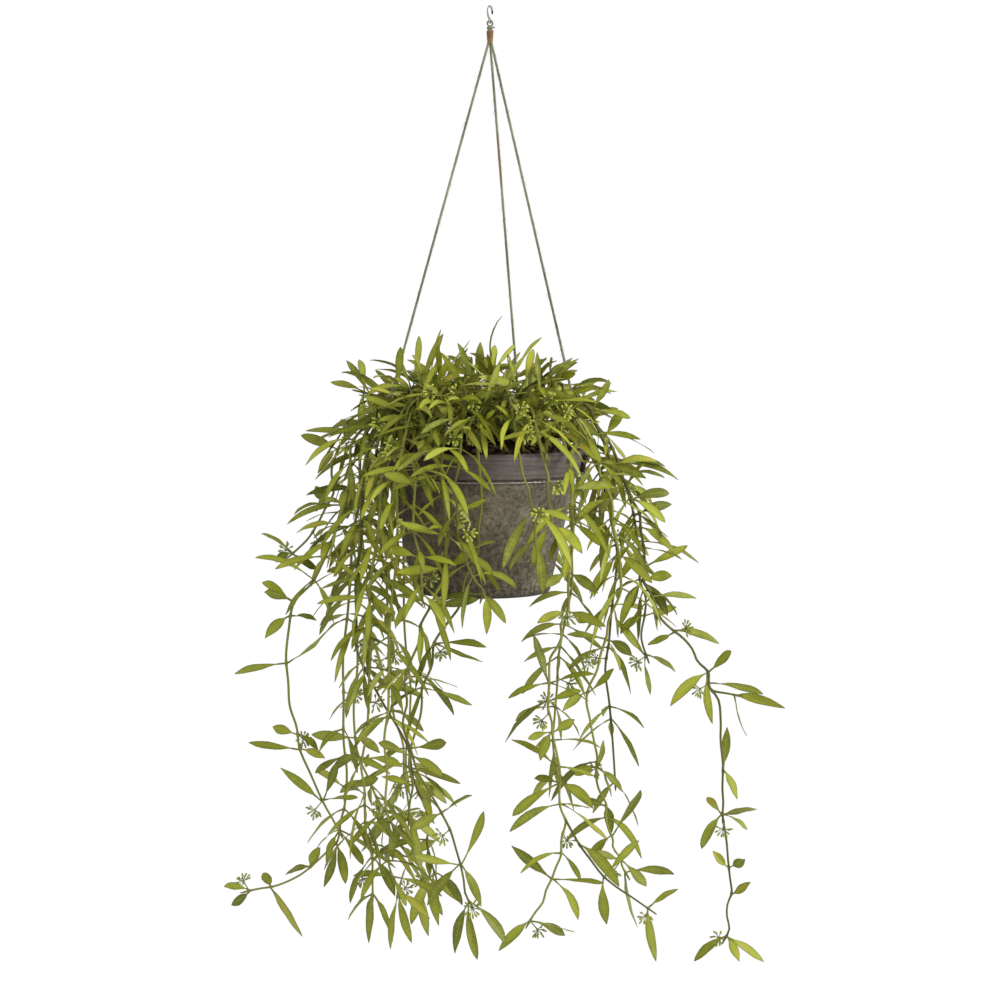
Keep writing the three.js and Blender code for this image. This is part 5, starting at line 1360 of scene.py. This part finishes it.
def grow_umbel(heap, umbel, look, roll):
    """An umbel: a stalk whose head carries a dome of club-shaped buds."""
    root, aim, stalk = np.array(umbel["root"]), np.array(umbel["aim"]), umbel["stalk"]
    path = [root + aim * (stalk * k / 4) + np.array([0, 0, -0.25 * k * (4 - k) * 0.3]) for k in range(5)]
    heap.sweep(path, [0.55, 0.5, 0.48, 0.55, 0.85], 5, tone=0.4 + 0.4 * roll())
    head = path[-1]
    side = unit_all(np.cross(aim, [0.31, 0.87, 0.38]))
    other = np.cross(aim, side)
    angle = np.arange(BUD_SIDES) * 2 * np.pi / BUD_SIDES
    last = (len(BUD_OUTLINE) - 1) * BUD_SIDES
    faces = [list(range(BUD_SIDES))[::-1]]
    for low in range(0, last, BUD_SIDES):
        for j, m in BUD_EDGES:
            faces.append([low + j, low + m, low + BUD_SIDES + m, low + BUD_SIDES + j])
    faces += [[last + j, last + m, last + BUD_SIDES] for j, m in BUD_EDGES]
    marks = np.array([place for place, _ in BUD_OUTLINE for _ in range(BUD_SIDES)] + [1.0])
    count = 13 + int(roll() * 6)
    first = roll() * 6.28
    for k in range(count):
        # Buds are spread over a dome by the golden angle.
        open_angle = math.radians(8 + 84 * math.sqrt((k + 0.4) / count) + 16 * (roll() - 0.5))
        spin = first + k * GOLDEN_ANGLE + 0.5 * (roll() - 0.5)
        way = aim * math.cos(open_angle)
        way = way + (side * math.cos(spin) + other * math.sin(spin)) * math.sin(open_angle)
        long = look.bud / MM * (0.82 + 0.3 * roll())
        flat = unit_all(np.cross(way, [0.2, 0.3, 0.93]))
        around = np.cos(angle)[:, None] * flat + np.sin(angle)[:, None] * np.cross(way, flat)
        rings = []
        for place, wide in BUD_OUTLINE:
            middle = head + way * (0.3 + long * place) + np.array([0, 0, -0.5 * place * place])
            rings.append(middle + wide * around)
        rings.append([head + way * (0.3 + long * 1.02) + np.array([0, 0, -0.5])])
        heap.put(np.concatenate(rings), faces, BUD_FINISH, along=marks, tone=roll())


def grow_stem(heap, pattern, plant, look):
    """A whole stem with its knots, leaves and umbels."""
    route, roll = plant["route"], dice(plant["seed"] + 4100)
    knots = [w["d"] for w in plant["whorls"] if w["leaves"] or w["fill"] or w["umbels"] or w["twigs"]]
    marks = set(np.arange(0, route.length, 5.0).tolist()) | {route.length}
    marks |= {d + off for d in knots for off in (-2.6, -1.2, 0, 1.2, 2.6)}
    marks = [d for d in sorted(marks) if 0 <= d <= route.length]
    marks = [d for i, d in enumerate(marks) if i == 0 or d - marks[i - 1] > 0.4]
    spots = [route.spot(d) for d in marks]
    thin = 0.85 if plant["label"] != plant["owner"] else 1.0
    wide = []
    for d in marks:
        share = d / route.length
        bulge = sum(math.exp(-(((d - k) / 1.7) ** 2)) for k in knots if abs(d - k) < 6)
        wide.append((STEM_R + (STEM_TIP_R - STEM_R) * share) * thin * (1 + 0.45 * min(bulge, 1)))
    path = [s["p"] for s in spots]
    tip = spots[-1]
    path += [add(tip["p"], mul(tip["along"], 2)), add(tip["p"], mul(tip["along"], 3.6))]
    wide += [STEM_TIP_R * 0.8, 0.25]
    heap.sweep(path, wide, 8, tone=roll())
    if plant["label"] == "shoot_11":
        bend = [add(tip["p"], step) for step in YOUNG_TIP]
        heap.sweep(bend, [STEM_TIP_R, 0.75, 0.7, 0.75, 0.7, 0.45, 0.2], 6, tone=0.3)
    for whorl in plant["whorls"]:
        # The leaves with a given reach are the broad ones.
        broad = 1.28 if whorl["reaches"] else 1.08
        for leaf, share in [(k, broad) for k in whorl["leaves"]] + [(k, 1.02) for k in whorl["fill"]]:
            grow_leaf(heap, pattern, leaf, share, look, roll)
        for umbel in whorl["umbels"] + whorl.get("fill_umbels", []):
            grow_umbel(heap, umbel, look, roll)


class HOYA_OT_camera(bpy.types.Operator):
    """Stands the camera where the hanging pot is seen a little from above."""

    bl_idname = "hoya.camera"
    bl_label = "Camera"

    def execute(self, context):
        bpy.ops.object.select_all(action="DESELECT")
        bpy.ops.object.camera_add(location=CAMERA_PLACE, rotation=(math.radians(CAMERA_TILT), 0, 0))
        context.scene.camera = context.object
        context.object.data.sensor_width = 36
        context.object.data.lens = CAMERA_LENS
        return {"FINISHED"}


class HOYA_OT_pot(bpy.types.Operator):
    """Turns the clay pot with its deep rim and wears it."""

    bl_idname = "hoya.pot"
    bl_label = "Clay pot"

    def execute(self, context):
        look = context.scene.hoya_pot
        foot = POT_FOOT_Z
        # The recess under the foot, the foot ring and the body
        under = [(0, foot + 3), (44, foot + 3)]
        shell = [(46, foot + 0.4), (47, foot), (54.2, foot), (55.8, foot + 0.7), (56.7, foot + 2)]
        shell += [(57.2, foot + 4.2), (BODY_TOP_R, RIM_LOW_Z - 4), (BODY_TOP_R, RIM_LOW_Z)]
        # The rim, from below to its rounded top and its inner side
        shell += [(RIM_LOW_R - 1.2, RIM_LOW_Z), (RIM_LOW_R - 0.3, RIM_LOW_Z + 0.4)]
        shell += [(RIM_LOW_R, RIM_LOW_Z + 1.4), (RIM_TOP_R, RIM_TOP_Z - 2.6)]
        shell += [(RIM_TOP_R - 0.5, RIM_TOP_Z - 0.9), (RIM_TOP_R - 1.7, RIM_TOP_Z)]
        shell += [(RIM_TOP_R - 5.6, RIM_TOP_Z), (SOIL_R + 1.6, RIM_TOP_Z - 1.4)]
        inner = [(SOIL_R + 0.5, RIM_LOW_Z + 8)]
        inner += [(BODY_TOP_R - POT_WALL, RIM_LOW_Z - 6), (BODY_LOW_R - POT_WALL, foot + 12), (0, foot + 9)]
        # What weathers gets points at most 1.9 mm apart.
        thing = turned("clay_pot", under + fine(shell, 1.9) + inner, 280, POT_X)
        p, out = places(thing)
        from_axis = p - np.array([POT_X, 0, 0])
        rho = np.hypot(from_axis[:, 0], from_axis[:, 1])
        low_down = np.clip((WEAR_TOP_Z - p[:, 2]) / 50, 0, 1)
        deep = look.pit_depth / MM
        shift = look.wave / MM * grain(p, 42, 1) + 0.35 * look.wave / MM * grain(p, 14, 2)
        # The rings that the wheel left go by the height alone.
        shift += 0.16 * grain(p * [0, 0, 1], 2.7, 3)
        # Small pits, wider hollows and fine grit
        shift -= deep * np.clip(grain(p, 2.6, 4) - 0.46 + 0.22 * low_down, 0, 0.5) * 1.5
        shift -= 1.4 * deep * np.clip(grain(p, 8, 5) - 0.5 + 0.2 * low_down, 0, 0.5) * 2
        shift += 0.07 * grain(p, 1.6, 6)
        # Chips along the two edges of the rim
        rim_top = (p[:, 2] > RIM_TOP_Z - 3) & (rho > RIM_TOP_R - 4)
        chip = np.clip(grain(p * [1, 1, 0.2], 9, 7) - 0.25, 0, 1) + 0.6 * np.clip(grain(p, 3, 8) - 0.3, 0, 1)
        shift -= np.where(rim_top, 2.2 * chip, 0)
        rim_low = (np.abs(p[:, 2] - RIM_LOW_Z) < 1.6) & (rho > BODY_TOP_R + 1)
        shift -= np.where(rim_low, 1.3 * chip, 0)
        # The inside is only a little worn, and the ring that the pot stands on not at all.
        shift = np.where(rho < SOIL_R + 2, np.clip(shift, -0.2, 0.05), shift)
        shift = np.where(p[:, 2] < POT_FOOT_Z + 0.2, 0, shift)
        move_points(thing, p + out * np.clip(shift, -2.4, 0.6)[:, None])
        thing.data.materials.append(weathered_clay(look))
        smooth(thing, 40)
        seat(thing, "clay", "pot")
        return {"FINISHED"}


class HOYA_OT_soil(bpy.types.Operator):
    """Fills the pot with crumbly peat, bark chips and dry twigs."""

    bl_idname = "hoya.soil"
    bl_label = "Soil and bark"

    def execute(self, context):
        look = context.scene.hoya_soil
        foot = POT_FOOT_Z + 9.4
        outline = [(0, foot), (BODY_LOW_R - POT_WALL - 3.4, foot), (BODY_LOW_R - POT_WALL - 0.4, foot + 3.2)]
        outline += [(BODY_TOP_R - POT_WALL - 0.4, RIM_LOW_Z - 6), (SOIL_R - 0.4, RIM_LOW_Z + 8.2)]
        top = [(r, soil_top(r)) for r in range(75, 0, -1)] + [(0, soil_top(0))]
        thing = turned("peat", outline + [(SOIL_R - 0.4, SOIL_EDGE_Z)] + top, 200, POT_X)
        p, _ = places(thing)
        crumb = 1.1 * grain(p, 7, 11) + 0.8 * grain(p, 3, 12) - 0.6
        p[:, 2] += np.where(p[:, 2] > SOIL_EDGE_Z - 0.5, crumb, 0)
        move_points(thing, p)
        thing.data.materials.append(damp_peat(look))
        smooth(thing, 60)
        seat(thing, "soil", "soil")
        # One chip of bark, a bevelled block that is dented by the draw, and copied with a turn each
        bpy.ops.object.select_all(action="DESELECT")
        bpy.ops.mesh.primitive_cube_add(size=1)
        chip = context.object
        edit_all()
        bpy.ops.transform.resize(value=CHIP_SIZE, center_override=(0, 0, 0))
        bpy.ops.mesh.bevel(offset=0.7, segments=1, affect="EDGES")
        bpy.ops.object.mode_set(mode="OBJECT")
        points, faces = taken(chip)
        points += np.stack([grain(points, 2.5, 20 + j) for j in range(3)], axis=1) * 0.8
        roll = dice(31)
        heap = Heap()
        for _ in range(look.chips):
            rho, turn = 74 * math.sqrt(roll()), roll() * 360
            a, b, c = roll() * 6.28, (roll() - 0.5) * 1.1, (roll() - 0.5) * 1.1
            (ca, cb, cc), (sa, sb, sc) = np.cos([a, b, c]), np.sin([a, b, c])
            about_z = np.array([[ca, -sa, 0], [sa, ca, 0], [0, 0, 1]])
            about_x = np.array([[1, 0, 0], [0, cb, -sb], [0, sb, cb]])
            about_y = np.array([[cc, 0, sc], [0, 1, 0], [-sc, 0, cc]])
            k = 0.5 + 0.75 * roll()
            spot = np.array(round_pot(turn, min(rho, 71), soil_top(rho) + 0.3 + 0.9 * roll()))
            stretch = np.array([k, k * (0.7 + 0.6 * roll()), k])
            heap.put((points * stretch) @ (about_z @ about_x @ about_y).T + spot, faces, tone=roll())
        for _ in range(look.twigs):
            rho, turn, a = 66 * math.sqrt(roll()), roll() * 360, roll() * 6.28
            long, bow = 9 + 16 * roll(), (roll() - 0.5) * 4
            middle = round_pot(turn, rho, 0)
            path = []
            for s in (k / 5 - 0.5 for k in range(6)):
                x = middle[0] + math.cos(a) * long * s - math.sin(a) * bow * s * s
                y = middle[1] + math.sin(a) * long * s + math.cos(a) * bow * s * s
                away = math.hypot(x - POT_X, y)
                if away > TWIG_FAR:
                    x, y = POT_X + (x - POT_X) * TWIG_FAR / away, y * TWIG_FAR / away
                path.append([x, y, soil_top(math.hypot(x - POT_X, y)) + 1.6 + 2.5 * roll() * abs(s)])
            radius = (0.45 + 0.5 * roll()) * np.array([1, 1, 0.95, 0.9, 0.85, 0.7])
            heap.sweep(path, radius, 5, tone=0.35 + 0.65 * roll())
        chips = heap.piece("bark_chips", [dry_bark(look)], 35)
        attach(chips, "root")
        return {"FINISHED"}


class HOYA_OT_rim_wire(bpy.types.Operator):
    """Lays the wire ring under the rim, its ends twisted together at the right."""

    bl_idname = "hoya.rim_wire"
    bl_label = "Rim wire"

    def execute(self, context):
        heap = Heap()
        path = []
        for turn in (k * 1.5 for k in range(240)):
            z = WIRE_RING_Z + 0.25 * math.sin(math.radians(turn * 3 + 40))
            path.append(round_pot(turn, WIRE_RING_R + 0.12 * math.sin(math.radians(turn * 7)), z))
        heap.sweep(path, 0.5, 8, closed=True, along=0.4)
        for phase in (0, math.pi):
            path = []
            for k in range(91):
                rho = WIRE_RING_R + 0.5 * math.cos(phase + k * 0.42)
                path.append(round_pot(k * 0.4 - 58, rho, WIRE_RING_Z + 0.75 * math.sin(phase + k * 0.42)))
            heap.sweep(path, 0.36, 6, along=0.4)
        seat(heap.piece("rim_wire_ring", [drawn_wire(context.scene.hoya_hanger)], 60), "wire", "rim_wire")
        return {"FINISHED"}


def twine_tones(look):
    """The colours of the grey-green twine, from the dirt between its fibres to their tops."""
    return ["#474a3b", look.twine_colour, "#8a8b72", "#9b9a83"]


def winding(turns, steps):
    """The angle at each step of a yarn that is wound round, with its share of the way."""
    shares = [k / (turns * steps) for k in range(turns * steps + 1)]
    return [(s * turns * 2 * math.pi, s) for s in shares]


class HOYA_OT_ropes(bpy.types.Operator):
    """Lays the three twine ropes, each of three strands, with the dark lashings at the rim."""

    bl_idname = "hoya.ropes"
    bl_label = "Ropes"

    def execute(self, context):
        look = context.scene.hoya_hanger
        twine = twisted_fibre("sisal_twine", look, twine_tones(look))
        lashing = twisted_fibre("waxed_yarn", look, ["#1d1512", look.lash_colour, "#5e4637"], 4)
        lay, strand = look.lay / MM, look.strand / MM
        under = WIRE_RING_Z - WIRE_R - ROPE_R - 0.35
        for name, turn in ROPE_TURNS.items():
            # The rope's middle line, from inside the whipping to under the rim wire
            mark = rope_points(name)
            line = [[mark["high"][0] * 0.8, mark["high"][1] * 0.8, WHIP_LOW_Z + 1.2]]
            line += [mix(mark["high"], mark["edge"], k / 20) for k in range(21)]
            line += [add(mark["lash_high"], [0, 0, 0.6]), mark["lash_low"]]
            for rho, z in (
                (RIM_LOW_R + LASH_R, RIM_LOW_Z + 1),
                (RIM_LOW_R + 1.6, under + 1.2),
                (WIRE_RING_R + 1.6, under - 0.1),
                (WIRE_RING_R - 0.4, under - 0.3),
            ):
                line.append(round_pot(turn, rho, z))
            line = np.array(line)
            far = np.concatenate([[0], np.cumsum(np.linalg.norm(np.diff(line, axis=0), axis=1))])
            steps = np.arange(0, far[-1], lay / 11)
            core = []
            for j in range(3):
                drawn = np.pad(np.interp(steps, far, line[:, j]), 2, mode="edge")
                core.append(np.convolve(drawn, np.ones(5) / 5, "valid"))
            core = np.stack(core, axis=1)
            way = unit_all(np.gradient(core, axis=0))
            side = unit_all(np.cross(way, [0, 1, 0]))
            other = np.cross(way, side)
            brown = np.zeros(len(steps))
            for low, high, much in BROWN_STRETCHES.get(name, ()):
                share = np.clip((core[:, 2] - low) / 8, 0, 1) * np.clip((high - core[:, 2]) / 8, 0, 1)
                brown = np.maximum(brown, much * share)
            heap = Heap()
            for k in range(3):
                a = steps * 2 * np.pi / lay + k * 2 * np.pi / 3
                off = np.cos(a)[:, None] * side + np.sin(a)[:, None] * other
                radius = strand * (1 + 0.1 * grain(core + k * 50, 9, 40 + k))
                heap.sweep(core + off * (ROPE_R - strand), radius, 6, tone=brown)
            # Loose hairs of the twine, 3 to 7 mm long
            roll = dice(50 + len(name) + turn % 97)
            for _ in range(ROPE_HAIRS):
                k = int(roll() * (len(core) - 70)) + 4
                a = roll() * 6.28
                out = math.cos(a) * side[k] + math.sin(a) * other[k]
                bend = (roll() - 0.5) * 1.4
                long = 2.5 + 3.5 * roll()
                hair = []
                for s in (0, 0.35, 0.7, 1):
                    ahead = way[k] * long * (s + bend * s * s * 0.4)
                    hair.append(core[k] + out * (0.9 + long * 0.45 * s) + ahead)
                heap.sweep(hair, [0.1, 0.09, 0.07, 0.04], 3, tone=float(brown[k]))
            # The lashing winds round the rope beside the rim.
            high, low = np.array(mark["lash_high"]), np.array(mark["lash_low"])
            out = unit_all(np.cross(unit_all(low - high), [0.3, 0.9, 0.1]))
            third = np.cross(unit_all(low - high), out)
            coil = []
            for a, s in winding(LASH_TURNS, 12):
                wide = 1.62 + 0.12 * math.sin(s * 40)
                coil.append(high + (low - high) * s + (out * math.cos(a) + third * math.sin(a)) * wide)
            heap.sweep(coil, 0.56, 6, 1)
            heap.sweep([high + (low - high) * s for s in (0.02, 0.5, 0.98)], 1.4, 8, 1)
            seat(heap.piece(name + "_twine", [twine, lashing], 60), "twine", name)
        return {"FINISHED"}


class HOYA_OT_whipping(bpy.types.Operator):
    """Winds the jute whipping round the rope tops and ties the loop that the hook goes through."""

    bl_idname = "hoya.whipping"
    bl_label = "Whipping and loop"

    def execute(self, context):
        look = context.scene.hoya_hanger
        jute = twisted_fibre("jute_yarn", look, ["#4f3b28", look.jute_colour, "#ad9068"], 8)
        heap = Heap()
        path = []
        for a, s in winding(WHIP_TURNS, 18):
            wide = (WHIP_R - YARN_R - 0.1) * (0.7 + 0.3 * s) + 0.09 * math.sin(s * 31)
            z = WHIP_LOW_Z + YARN_R + (WHIP_TOP_Z - WHIP_LOW_Z - 2 * YARN_R) * s
            path.append([wide * math.cos(a), wide * math.sin(a), z])
        heap.sweep(path, YARN_R, 8)
        core = [[0, 0, WHIP_LOW_Z + 0.1], [0, 0, -24], [0, 0, WHIP_TOP_Z - 0.1]]
        wide = [WHIP_R * share - 2 * YARN_R + more for share, more in ((0.7, 0.4), (0.85, 0.3), (1, 0.3))]
        heap.sweep(core, wide, 12)
        seat(heap.piece("jute_whipping", [jute], 60), "jute", "whipping")
        heap = Heap()
        foot = WHIP_TOP_Z + 0.3
        # Two strands make the twine of the knot, the loop and the end that stands out at the right.
        for phase in (0, math.pi):
            # The knot is two turns that cross.
            for tilt, z, r in ((0.35, foot + 1.05, 1.95), (-0.4, foot + 1.9, 1.8)):
                path = []
                for a in (k * 2 * math.pi / 40 for k in range(40)):
                    wide = r + STRAND_OFF * math.cos(a * 5 + phase)
                    up = tilt * math.cos(a + tilt * 4) * 0.8 + STRAND_OFF * math.sin(a * 5 + phase)
                    path.append([wide * math.cos(a), wide * math.sin(a), z + up])
                heap.sweep(path, 0.46, 6, closed=True)
            # The loop
            path = []
            for a in (k * 2 * math.pi / 60 for k in range(60)):
                r = LOOP_R + STRAND_OFF * math.cos(a * 6 + phase)
                path.append([r * math.cos(a), STRAND_OFF * math.sin(a * 6 + phase), LOOP_Z + r * math.sin(a)])
            heap.sweep(path, 0.43, 6, closed=True)
            # The end
            path = []
            for s in (0, 0.25, 0.5, 0.75, 1):
                a = s * 7 + phase
                path.append([1.0 + 3.2 * s, 0.3 * math.cos(a), foot + 1.5 + 0.6 * s + 0.3 * math.sin(a)])
            heap.sweep(path, [0.5, 0.5, 0.5, 0.48, 0.3], 6)
        heap.sweep([[0, 0, foot + 0.1], [0, 0, foot + 1.4], [0, 0, foot + 3]], [1.9, 1.9, 1.2], 10)
        twine = twisted_fibre("grey_twine", look, twine_tones(look), 2)
        seat(heap.piece("twine_loop", [twine], 60), "twine", "rope_loop")
        return {"FINISHED"}


class HOYA_OT_hook(bpy.types.Operator):
    """Bends the wire hook: an eye through the rope loop and an open curl on top."""

    bl_idname = "hoya.hook"
    bl_label = "Hook"

    def execute(self, context):
        # The wire's middle line in one plane: the eye, the shank and the curl
        middle = HOOK_IN_R + HOOK_WIRE_R
        flat = []
        for a in (math.radians(48 - k * 286 / 40) for k in range(41)):
            flat.append((HOOK_EYE_R * math.cos(a), HOOK_EYE_Z + HOOK_EYE_R * math.sin(a)))
        flat += [(u - middle, z - HOOK_IN_R) for u, z in ((1.5, -4.1), (1.1, -3.2), (0.2, -1.6))]
        for a in (math.radians(180 - k * 192 / 40) for k in range(41)):
            flat.append((middle * math.cos(a), -HOOK_IN_R + middle * math.sin(a)))
        radius = [0.35] + [HOOK_WIRE_R] * (len(flat) - 3) + [0.7, 0.45]
        c, s = math.cos(math.radians(HOOK_TURN)), math.sin(math.radians(HOOK_TURN))
        heap = Heap()
        heap.sweep([[u * c, u * s, z] for u, z in flat], radius, 12)
        seat(heap.piece("wire_hook", [drawn_wire(context.scene.hoya_hanger)], 60), "wire", "hook")
        return {"FINISHED"}


class HOYA_OT_plant(bpy.types.Operator):
    """Grows every trailing stem and upright shoot with its leaves and umbels."""

    bl_idname = "hoya.plant"
    bl_label = "Stems and shoots"

    def execute(self, context):
        look = context.scene.hoya_plant
        finishes = [green_stem(look), waxy_leaf(look), waxy_bud(look)]
        pattern = leaf_pattern()
        heaps = {}
        for plant in plan_plants():
            heap = heaps.setdefault(plant["owner"], Heap())
            grow_stem(heap, pattern, plant, look)
        for owner, heap in heaps.items():
            name = owner.replace("stem_", "vine_").replace("shoot_", "sprig_")
            seat(heap.piece(name, finishes), "leaf", owner)
        return {"FINISHED"}


class HOYA_OT_stage(bpy.types.Operator):
    """Lays a plain pale floor and lights the room softly, with a large light at the right."""

    bl_idname = "hoya.stage"
    bl_label = "Floor and light"

    def execute(self, context):
        look = context.scene.hoya_stage
        bpy.ops.object.select_all(action="DESELECT")
        bpy.ops.mesh.primitive_circle_add(vertices=96, radius=1.45, fill_type="NGON")
        floor = context.object
        floor.name = "floor"
        bpy.ops.transform.translate(value=(0, 0, -look.floor_drop))
        bpy.ops.object.transform_apply(location=True, rotation=True, scale=True)
        # A matt pale floor that fades into the white room towards its edge
        finish, tree, shader, where = new_finish("matt_paint", 0.9, **{"Base Color": look.floor_colour})
        flat = put(tree, "VectorMath", {0: where, 1: (1, 1, 0)}, operation="MULTIPLY")
        far = put(tree, "VectorMath", {0: flat}, out="Value", operation="LENGTH")
        fade = put(tree, "MapRange", {0: far, 1: 0.5, 2: 1.4})
        white = put(tree, "Emission", {"Color": "#ffffff", "Strength": 1.0})
        both = put(tree, "MixShader", {0: fade, 1: shader.outputs[0], 2: white})
        feed(tree.nodes["Material Output"], {"Surface": both})
        floor.data.materials.append(finish)
        # The room is white to look at. Its light is strongest from above at the right.
        world = bpy.data.worlds.new("room")
        world.use_nodes = True
        tree = world.node_tree
        way = put(tree, "TexCoord", out="Generated")
        toward = put(tree, "VectorMath", {0: way, 1: LIGHT_WAY}, out="Value", operation="DOT_PRODUCT")
        soft = put(tree, "MapRange", {0: toward, 1: -0.8, 2: 0.8, 3: look.shade, 4: look.sky})
        feed(tree.nodes["Background"], {"Color": "#ffffff", "Strength": soft})
        seen = put(tree, "Background", {"Color": "#ffffff", "Strength": 1.0})
        path = put(tree, "LightPath", out="Is Camera Ray")
        both = put(tree, "MixShader", {0: path, 1: tree.nodes["Background"].outputs[0], 2: seen})
        feed(tree.nodes["World Output"], {"Surface": both})
        context.scene.world = world
        for name, place, wide, power in (
            ("main_light", (2.1, -0.95, 0.5), 1.3, look.key),
            ("fill_light", (-1.9, -1.5, 0.1), 1.6, look.fill),
        ):
            bpy.ops.object.light_add(type="AREA", location=place)
            light = context.object
            light.name = name
            light.data.size = wide
            light.data.energy = power
            aim = unit(sub(LIGHT_AIM, place))
            light.rotation_euler = (math.acos(-aim[2]), 0, math.atan2(-aim[0], aim[1]))
        # Plain display of the colours, so that a white wall is white
        context.scene.view_settings.view_transform = "Standard"
        return {"FINISHED"}


class HOYA_PT_panel(bpy.types.Panel):
    """Lists the pieces of the hanging hoya."""

    bl_idname = "HOYA_PT_panel"
    bl_label = "Hanging potted hoya"
    bl_space_type = "VIEW_3D"
    bl_region_type = "UI"
    bl_category = "Hoya"

    def draw(self, context):
        for operator in OPERATORS:
            self.layout.operator(operator.bl_idname)
        for key in LOOKS:
            box = self.layout.box()
            group = getattr(context.scene, key)
            for name in group.bl_rna.properties.keys():
                if name not in ("rna_type", "name"):
                    box.prop(group, name)


LOOKS = {
    "hoya_pot": PotLook,
    "hoya_hanger": HangerLook,
    "hoya_soil": SoilLook,
    "hoya_plant": PlantLook,
    "hoya_stage": StageLook,
}
OPERATORS = (
    HOYA_OT_camera,
    HOYA_OT_pot,
    HOYA_OT_soil,
    HOYA_OT_rim_wire,
    HOYA_OT_ropes,
    HOYA_OT_whipping,
    HOYA_OT_hook,
    HOYA_OT_plant,
    HOYA_OT_stage,
)


def register():
    for kind in (*LOOKS.values(), *OPERATORS, HOYA_PT_panel):
        bpy.utils.register_class(kind)
    for key, kind in LOOKS.items():
        setattr(bpy.types.Scene, key, PointerProperty(type=kind))


def unregister():
    for key in LOOKS:
        delattr(bpy.types.Scene, key)
    for kind in (HOYA_PT_panel, *reversed(OPERATORS), *reversed(LOOKS.values())):
        bpy.utils.unregister_class(kind)


def main():
    register()
    bpy.ops.hoya.camera()
    bpy.ops.hoya.pot()
    bpy.ops.hoya.soil()
    bpy.ops.hoya.rim_wire()
    bpy.ops.hoya.ropes()
    bpy.ops.hoya.whipping()
    bpy.ops.hoya.hook()
    bpy.ops.hoya.plant()
    bpy.ops.hoya.stage()
    bpy.context.view_layer.update()


if __name__ == "__main__":
    main()
